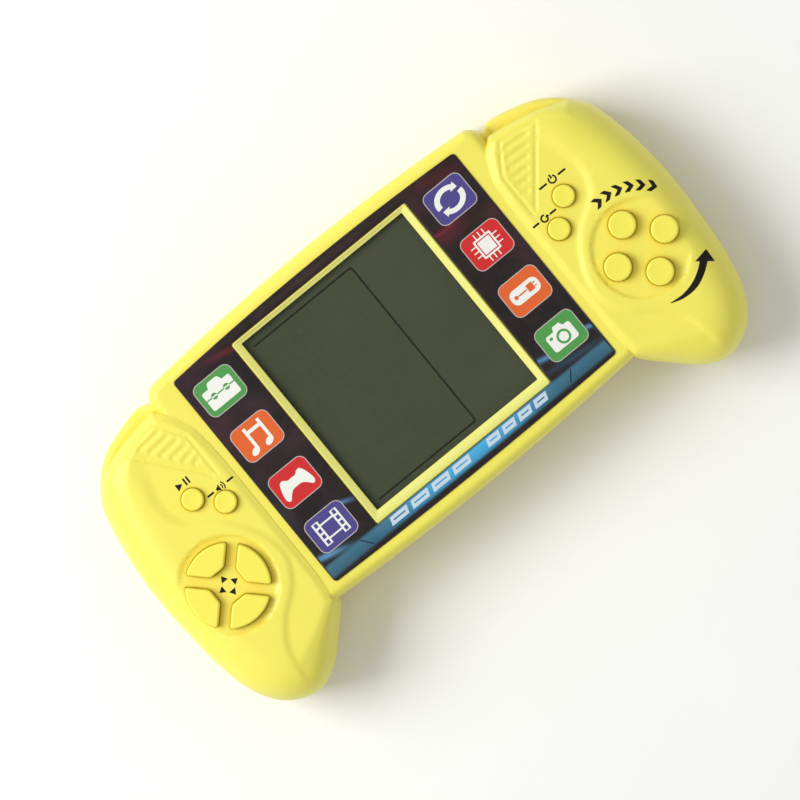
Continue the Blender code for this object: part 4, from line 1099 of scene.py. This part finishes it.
class Recipe:
    """A node material under construction. Values are set on the sockets, and node outputs are linked."""

    def __init__(self, name, roughness=0.5, metallic=0.0, specular=0.5):
        self.material = bpy.data.materials.new(name)
        self.material.use_nodes = True
        self.tree = self.material.node_tree
        self.shader = self.tree.nodes["Principled BSDF"]
        self.fill(self.shader, {"Roughness": roughness, "Metallic": metallic})
        self.fill(self.shader, {"Specular IOR Level": specular})
        self.place = self.node("TexCoord").outputs["Object"]

    def fill(self, node, inputs):
        for key, value in inputs.items():
            if isinstance(value, bpy.types.NodeSocket):
                self.tree.links.new(value, node.inputs[key])
            elif isinstance(value, np.ndarray):
                node.inputs[key].default_value = (*value, 1.0)
            elif value is not None:
                node.inputs[key].default_value = value

    def node(self, kind, inputs=None, **settings):
        made = self.tree.nodes.new(f"ShaderNode{kind}")
        for key, value in settings.items():
            setattr(made, key, value)
        self.fill(made, inputs or {})
        return made

    def noise(self, scale, detail=3.0, roughness=0.55, distortion=0.0, stretch=None):
        """Noise, whose grain a stretch squeezes along the axes."""
        place = self.place
        if stretch:
            place = self.node("Mapping", {"Vector": place, "Scale": stretch}).outputs["Vector"]
        inputs = {"Vector": place, "Scale": scale, "Detail": detail, "Roughness": roughness,
                  "Distortion": distortion}
        return self.node("TexNoise", inputs).outputs["Fac"]

    def stored(self):
        """The colours that the mesh holds."""
        return self.node("VertexColor", layer_name="print").outputs["Color"]

    def ranged(self, value, low, high, to_low, to_high):
        inputs = {"Value": value, "From Min": low, "From Max": high, "To Min": to_low, "To Max": to_high}
        return self.node("MapRange", inputs).outputs["Result"]

    def clouds(self, low, high, *noise, **more):
        """Noise whose middle range is spread from low to high."""
        return self.ranged(self.noise(*noise, **more), 0.3, 0.7, low, high)

    def corners(self, reach, low, high, strength):
        """Strength where the surface is hemmed in, falling to nothing where it is open; the mask for painted
        shade in corners.
        """
        found = self.node("AmbientOcclusion", {"Distance": reach}, samples=8).outputs["AO"]
        return self.ranged(found, low, high, strength, 0.0)

    def blend(self, factor, a, b, kind="MIX"):
        return self.node("Mix", {0: factor, 6: a, 7: b}, data_type="RGBA", blend_type=kind).outputs[2]

    def math(self, operation, *values):
        return self.node("Math", dict(enumerate(values)), operation=operation).outputs[0]

    def bump(self, height, strength, distance, normal=None):
        inputs = {"Height": height, "Strength": strength, "Distance": distance, "Normal": normal}
        return self.node("Bump", inputs).outputs["Normal"]

    def done(self, colour=None, roughness=None, normal=None):
        self.fill(self.shader, {"Base Color": colour, "Roughness": roughness, "Normal": normal})
        return self.material


def moulded_plastic(name, colour, shade_colour, roughness):
    """Satin moulded plastic: flow marks, spark-eroded grain and rubbed patches, with painted shade in
    corners: a warmer and a darker colour where the surface is hemmed in.
    """
    r = Recipe(name, specular=0.42)
    light = linear(colour)
    base = r.blend(r.clouds(0.0, 1.0, 22.0, 3.0, 0.5, 0.6), light * 0.975, np.minimum(light * 1.02, 1.0))
    base = r.blend(r.ranged(r.noise(420.0, 4.0, 0.6), 0.42, 0.75, 0.0, 0.1), base, light * [0.9, 0.84, 0.62])
    # Painted shade: an orange tint where the surface is hemmed in within 6 mm, then the darker shade colour
    # in tighter corners within 1.8 mm, in place of shadow and bounced light.
    base = r.blend(r.corners(0.006, 0.45, 0.95, 0.6), base, linear((240, 208, 72)))
    base = r.blend(r.corners(0.0018, 0.2, 0.9, 0.55), base, linear(shade_colour))
    rubbed = r.ranged(r.noise(60.0, 5.0, 0.65, 1.0), 0.35, 0.7, roughness - 0.07, roughness + 0.07)
    grain = r.bump(r.noise(3600.0, 2.0, 0.5), 0.16, 0.00003)
    scuffs = r.ranged(r.noise(90.0, 2.0, 0.4, stretch=(9.0, 1.0, 1.0)), 0.72, 0.76, 0.0, 1.0)
    return r.done(base, rubbed, r.bump(scuffs, 0.1, 0.00002, grain))


def print_ink(name, roughness):
    """Ink in the colours stored on the mesh, with fine dots and an uneven gloss."""
    r = Recipe(name, specular=0.22)
    cloud = r.ranged(r.noise(160.0, 5.0, 0.62, 1.2), 0.42, 0.74, 0.0, 0.3)
    colour = r.blend(cloud, r.stored(), np.array((0.05, 0.018, 0.024)), "ADD")
    dots = r.ranged(r.noise(2600.0, 2.0, 0.7), 0.35, 0.7, 0.0, 0.22)
    colour = r.blend(dots, colour, np.array((0.75, 0.75, 0.78)), "MULTIPLY")
    gloss = r.clouds(roughness - 0.05, roughness + 0.07, 300.0)
    return r.done(colour, gloss, r.bump(r.noise(1900.0, 2.0), 0.08, 0.00002))


def flat_ink(name, roughness):
    """Screen-printed ink, slightly uneven in density."""
    r = Recipe(name, specular=0.25)
    thin = r.ranged(r.noise(1400.0, 3.0, 0.6), 0.4, 0.75, 0.0, 0.2)
    colour = r.blend(thin, r.stored(), np.array((0.8, 0.8, 0.82)), "MULTIPLY")
    gloss = r.clouds(roughness - 0.06, roughness + 0.06, 500.0)
    return r.done(colour, gloss, r.bump(r.noise(2600.0, 2.0), 0.12, 0.00002))


def mottled(name, dark, light, scale, roughness, metallic=0.0, bump_scale=None, depth=0.00005, stretch=None):
    """Two-tone material with uneven gloss and a fine relief."""
    r = Recipe(name, metallic=metallic)
    colour = r.blend(r.clouds(0.0, 1.0, scale, 4.0, 0.6, stretch=stretch), linear(dark), linear(light))
    gloss = r.clouds(max(roughness - 0.08, 0.03), roughness + 0.08, scale * 1.7, stretch=stretch)
    return r.done(colour, gloss, r.bump(r.noise(bump_scale or scale * 4, stretch=stretch), 0.35, depth))


def lcd_face():
    """Olive-grey reflective display with faint clouding."""
    r = Recipe("lcd_face")
    colour = r.blend(r.clouds(0.0, 1.0, 35.0, 4.0, 0.55, 0.5), linear((71, 76, 54)), linear((79, 84, 62)))
    colour = r.blend(r.clouds(0.0, 0.12, 1800.0, 2.0), colour, linear((42, 44, 31)))
    return r.done(colour, r.clouds(0.27, 0.37, 120.0), r.bump(r.noise(2400.0, 2.0), 0.1, 0.00002))


def clear_sheet():
    """Clear window: see-through straight on, with a mirror that grows towards the edges of sight."""
    r = Recipe("clear_sheet", specular=1.0)
    clear = r.node("BsdfTransparent", {"Color": np.array((0.95, 0.96, 0.94))}).outputs["BSDF"]
    fresnel = r.node("Fresnel", {"IOR": 1.46}).outputs["Fac"]
    outer_side = r.math("SUBTRACT", 1.0, r.node("NewGeometry").outputs["Backfacing"])
    mirror = r.math("MULTIPLY", fresnel, outer_side)
    sheet = r.node("MixShader", {0: mirror, 1: clear, 2: r.shader.outputs["BSDF"]}).outputs["Shader"]
    r.fill(r.tree.nodes["Material Output"], {"Surface": sheet})
    return r.done(np.array((0.02, 0.02, 0.02)), r.clouds(0.05, 0.14, 70.0))


def board_laminate():
    """Green solder mask with darker copper runs under it."""
    r = Recipe("board_laminate")
    r.fill(r.shader, {"Coat Weight": 0.3, "Coat Roughness": 0.1})
    black, white = np.zeros(3), np.ones(3)
    bricks = {"Vector": r.place, "Scale": 260.0, "Mortar Size": 0.06, "Color1": black, "Color2": black,
              "Mortar": white}
    runs = r.node("TexBrick", bricks).outputs["Color"]
    colour = r.blend(runs, linear((22, 96, 52)), linear((46, 130, 66)))
    colour = r.blend(r.clouds(0.0, 0.25, 200.0), colour, linear((16, 70, 40)))
    return r.done(colour, r.clouds(0.28, 0.42, 400.0), r.bump(runs, 0.4, 0.00004))


def cell_jacket(name, positive):
    """Dry-cell sleeve with bare metal ends, a copper band at the positive end and faint printing stripes."""
    r = Recipe(name, metallic=0.2)
    x = r.node("SeparateXYZ", {"Vector": r.place}).outputs["X"]
    along = r.math("MULTIPLY", x, 1000.0 * positive)
    ends = r.ranged(r.math("ABSOLUTE", along), 23.2, 23.4, 0.0, 1.0)
    stripe = r.node("TexWave", {"Vector": r.place, "Scale": 90.0, "Distortion": 0.0}).outputs["Fac"]
    colour = r.blend(r.ranged(along, 12.0, 12.3, 0.0, 1.0), linear((38, 40, 46)), linear((190, 120, 62)))
    colour = r.blend(ends, colour, linear((200, 200, 196)))
    colour = r.blend(r.ranged(stripe, 0.4, 0.9, 0.0, 0.12), colour, linear((120, 124, 130)))
    return r.done(colour, r.clouds(0.22, 0.38, 220.0), r.bump(r.noise(900.0), 0.15, 0.00003))


def zebra():
    """Striped rubber connector."""
    r = Recipe("zebra_rubber", 0.7)
    bands = r.node("TexWave", {"Vector": r.place, "Scale": 320.0}).outputs["Fac"]
    colour = r.blend(r.ranged(bands, 0.35, 0.65, 0.0, 1.0), linear((28, 28, 30)), linear((196, 190, 178)))
    return r.done(colour, None, r.bump(r.noise(1500.0), 0.3, 0.00003))


def dress(material, *nodes):
    """Gives carried-over CAD nodes their finish."""
    for name in nodes:
        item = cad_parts[name]
        if not item.material_slots:
            item.data.materials.append(material)
        item.material_slots[0].material = material


def inner_materials():
    dress(board_laminate(), "main_board")
    dress(mottled("chip_epoxy", (14, 14, 16), (34, 33, 34), 500.0, 0.25), "chip_blob")
    dress(mottled("capacitor_sleeve", (22, 34, 78), (38, 54, 110), 260.0, 0.35), "power_capacitor")
    dress(mottled("resonator_can", (168, 168, 164), (206, 206, 200), 700.0, 0.28, 0.9), "clock_resonator")
    brass = mottled("brass", (170, 132, 60), (214, 178, 96), 320.0, 0.3, 0.9, stretch=(1, 8, 1))
    dress(brass, "buzzer_plate")
    dress(mottled("piezo_ceramic", (214, 208, 196), (236, 232, 222), 500.0, 0.6), "buzzer_ceramic")
    insulations = (("red", (150, 20, 22), (188, 34, 32)), ("black", (16, 16, 18), (36, 36, 38)))
    for colour, dark, light in insulations:
        insulation = mottled(f"{colour}_insulation", dark, light, 300.0, 0.45)
        dress(insulation, f"battery_lead_{colour}", f"buzzer_lead_{colour}")
    dress(zebra(), "zebra_strip_top", "zebra_strip_bottom")
    nickel = mottled("nickel_plate", (176, 174, 166), (214, 212, 204), 420.0, 0.25, 1.0, stretch=(1, 1, 6))
    dress(nickel, "contact_bridge", *(f"contact_plate_{end}" for end in ("negative", "positive")),
          *(f"contact_spring_{side}" for side in ("left", "right")))
    steel = mottled("zinc_steel", (120, 122, 126), (184, 186, 190), 900.0, 0.3, 1.0, stretch=(1, 1, 5))
    dress(steel, *(f"case_screw_{k}" for k in range(1, 7)), *(f"board_screw_{k}" for k in range(1, 5)))
    dress(cell_jacket("cell_jacket_1", 1), "battery_cell_1")
    dress(cell_jacket("cell_jacket_2", -1), "battery_cell_2")


# ---------------------------------------------------------------- set

CAMERA_REACH = 1900.0
CAMERA_LEAN = (3.2, -0.4)  # degrees from straight above, towards +X and +Y
CAMERA_TURN = 39.3
CAMERA_AIM = (-3.95, -7.15, 25.55)
VIEW_WIDTH = 197.044  # width of what the camera sees at the aim
LAMP_AT = (-0.7, 0.6, 0.9)  # in metres, from the middle of the game
FLOOR_GAP = 0.0002  # in metres, below the back


def add_camera():
    towards = Vector((*(tan(radians(lean)) for lean in CAMERA_LEAN), 1.0)).normalized()
    turn = radians(CAMERA_TURN)
    right = Vector((sin(turn), cos(turn), 0.0)).cross(towards).normalized()
    data = bpy.data.cameras.new("camera")
    data.sensor_width = 36.0
    data.lens = CAMERA_REACH / VIEW_WIDTH * data.sensor_width
    data.clip_end = 10
    camera = added("camera", data)
    turned = Matrix((right, towards.cross(right), towards)).transposed()
    aim = Vector(to_world([CAMERA_AIM])[0])
    camera.matrix_world = Matrix.Translation(aim + towards * CAMERA_REACH * MM) @ turned.to_4x4()
    bpy.context.scene.camera = camera


def build_set():
    mesh = bpy.data.meshes.new("floor")
    mesh.from_pydata([(-3, -3, 0), (3, -3, 0), (3, 3, 0), (-3, 3, 0)], [], [(0, 1, 2, 3)])
    paper = mottled("floor_paper", (248, 248, 246), (252, 252, 250), 9.0, 0.9, bump_scale=400.0)
    mesh.materials.append(paper)
    floor = added("floor", mesh)
    floor.location.z = CAD_LOW.z - FLOOR_GAP
    add_camera()
    light = bpy.data.lights.new("key_light", "AREA")
    light.energy = 14
    light.size = 0.8
    lamp = added("key_light", light)
    lamp.location = LAMP_AT
    lamp.rotation_euler = (-Vector(LAMP_AT)).to_track_quat("-Z", "Y").to_euler()
    world = bpy.data.worlds.new("studio")
    bpy.context.scene.world = world
    world.use_nodes = True
    background = world.node_tree.nodes["Background"]
    background.inputs["Color"].default_value = (1, 1, 1, 1)
    background.inputs["Strength"].default_value = 0.5


def main():
    shell = moulded_plastic("lemon_plastic", (243, 233, 96), (218, 204, 66), 0.4)
    pale = moulded_plastic("frame_plastic", (233, 232, 127), (214, 206, 86), 0.36)
    key = moulded_plastic("key_plastic", (246, 236, 88), (218, 204, 64), 0.38)
    label_ink, ink = print_ink("label_ink", 0.38), flat_ink("flat_ink", 0.45)
    front_shell(shell)
    window_frame(pale)
    rear_shell(shell)
    battery_bay(shell)
    battery_door(shell)
    keys(key)
    label_panel(label_ink)
    label_icons(ink)
    label_bars(ink)
    shell_marks(ink)
    screen(lcd_face(), clear_sheet(), ink)
    keypads(mottled("silicone", (176, 178, 176), (204, 206, 204), 240.0, 0.55))
    backing_pad(mottled("foam", (96, 96, 98), (150, 150, 152), 900.0, 0.9, depth=0.0002))
    inner_materials()
    build_set()
    bpy.context.scene.view_settings.view_transform = "Standard"


main()
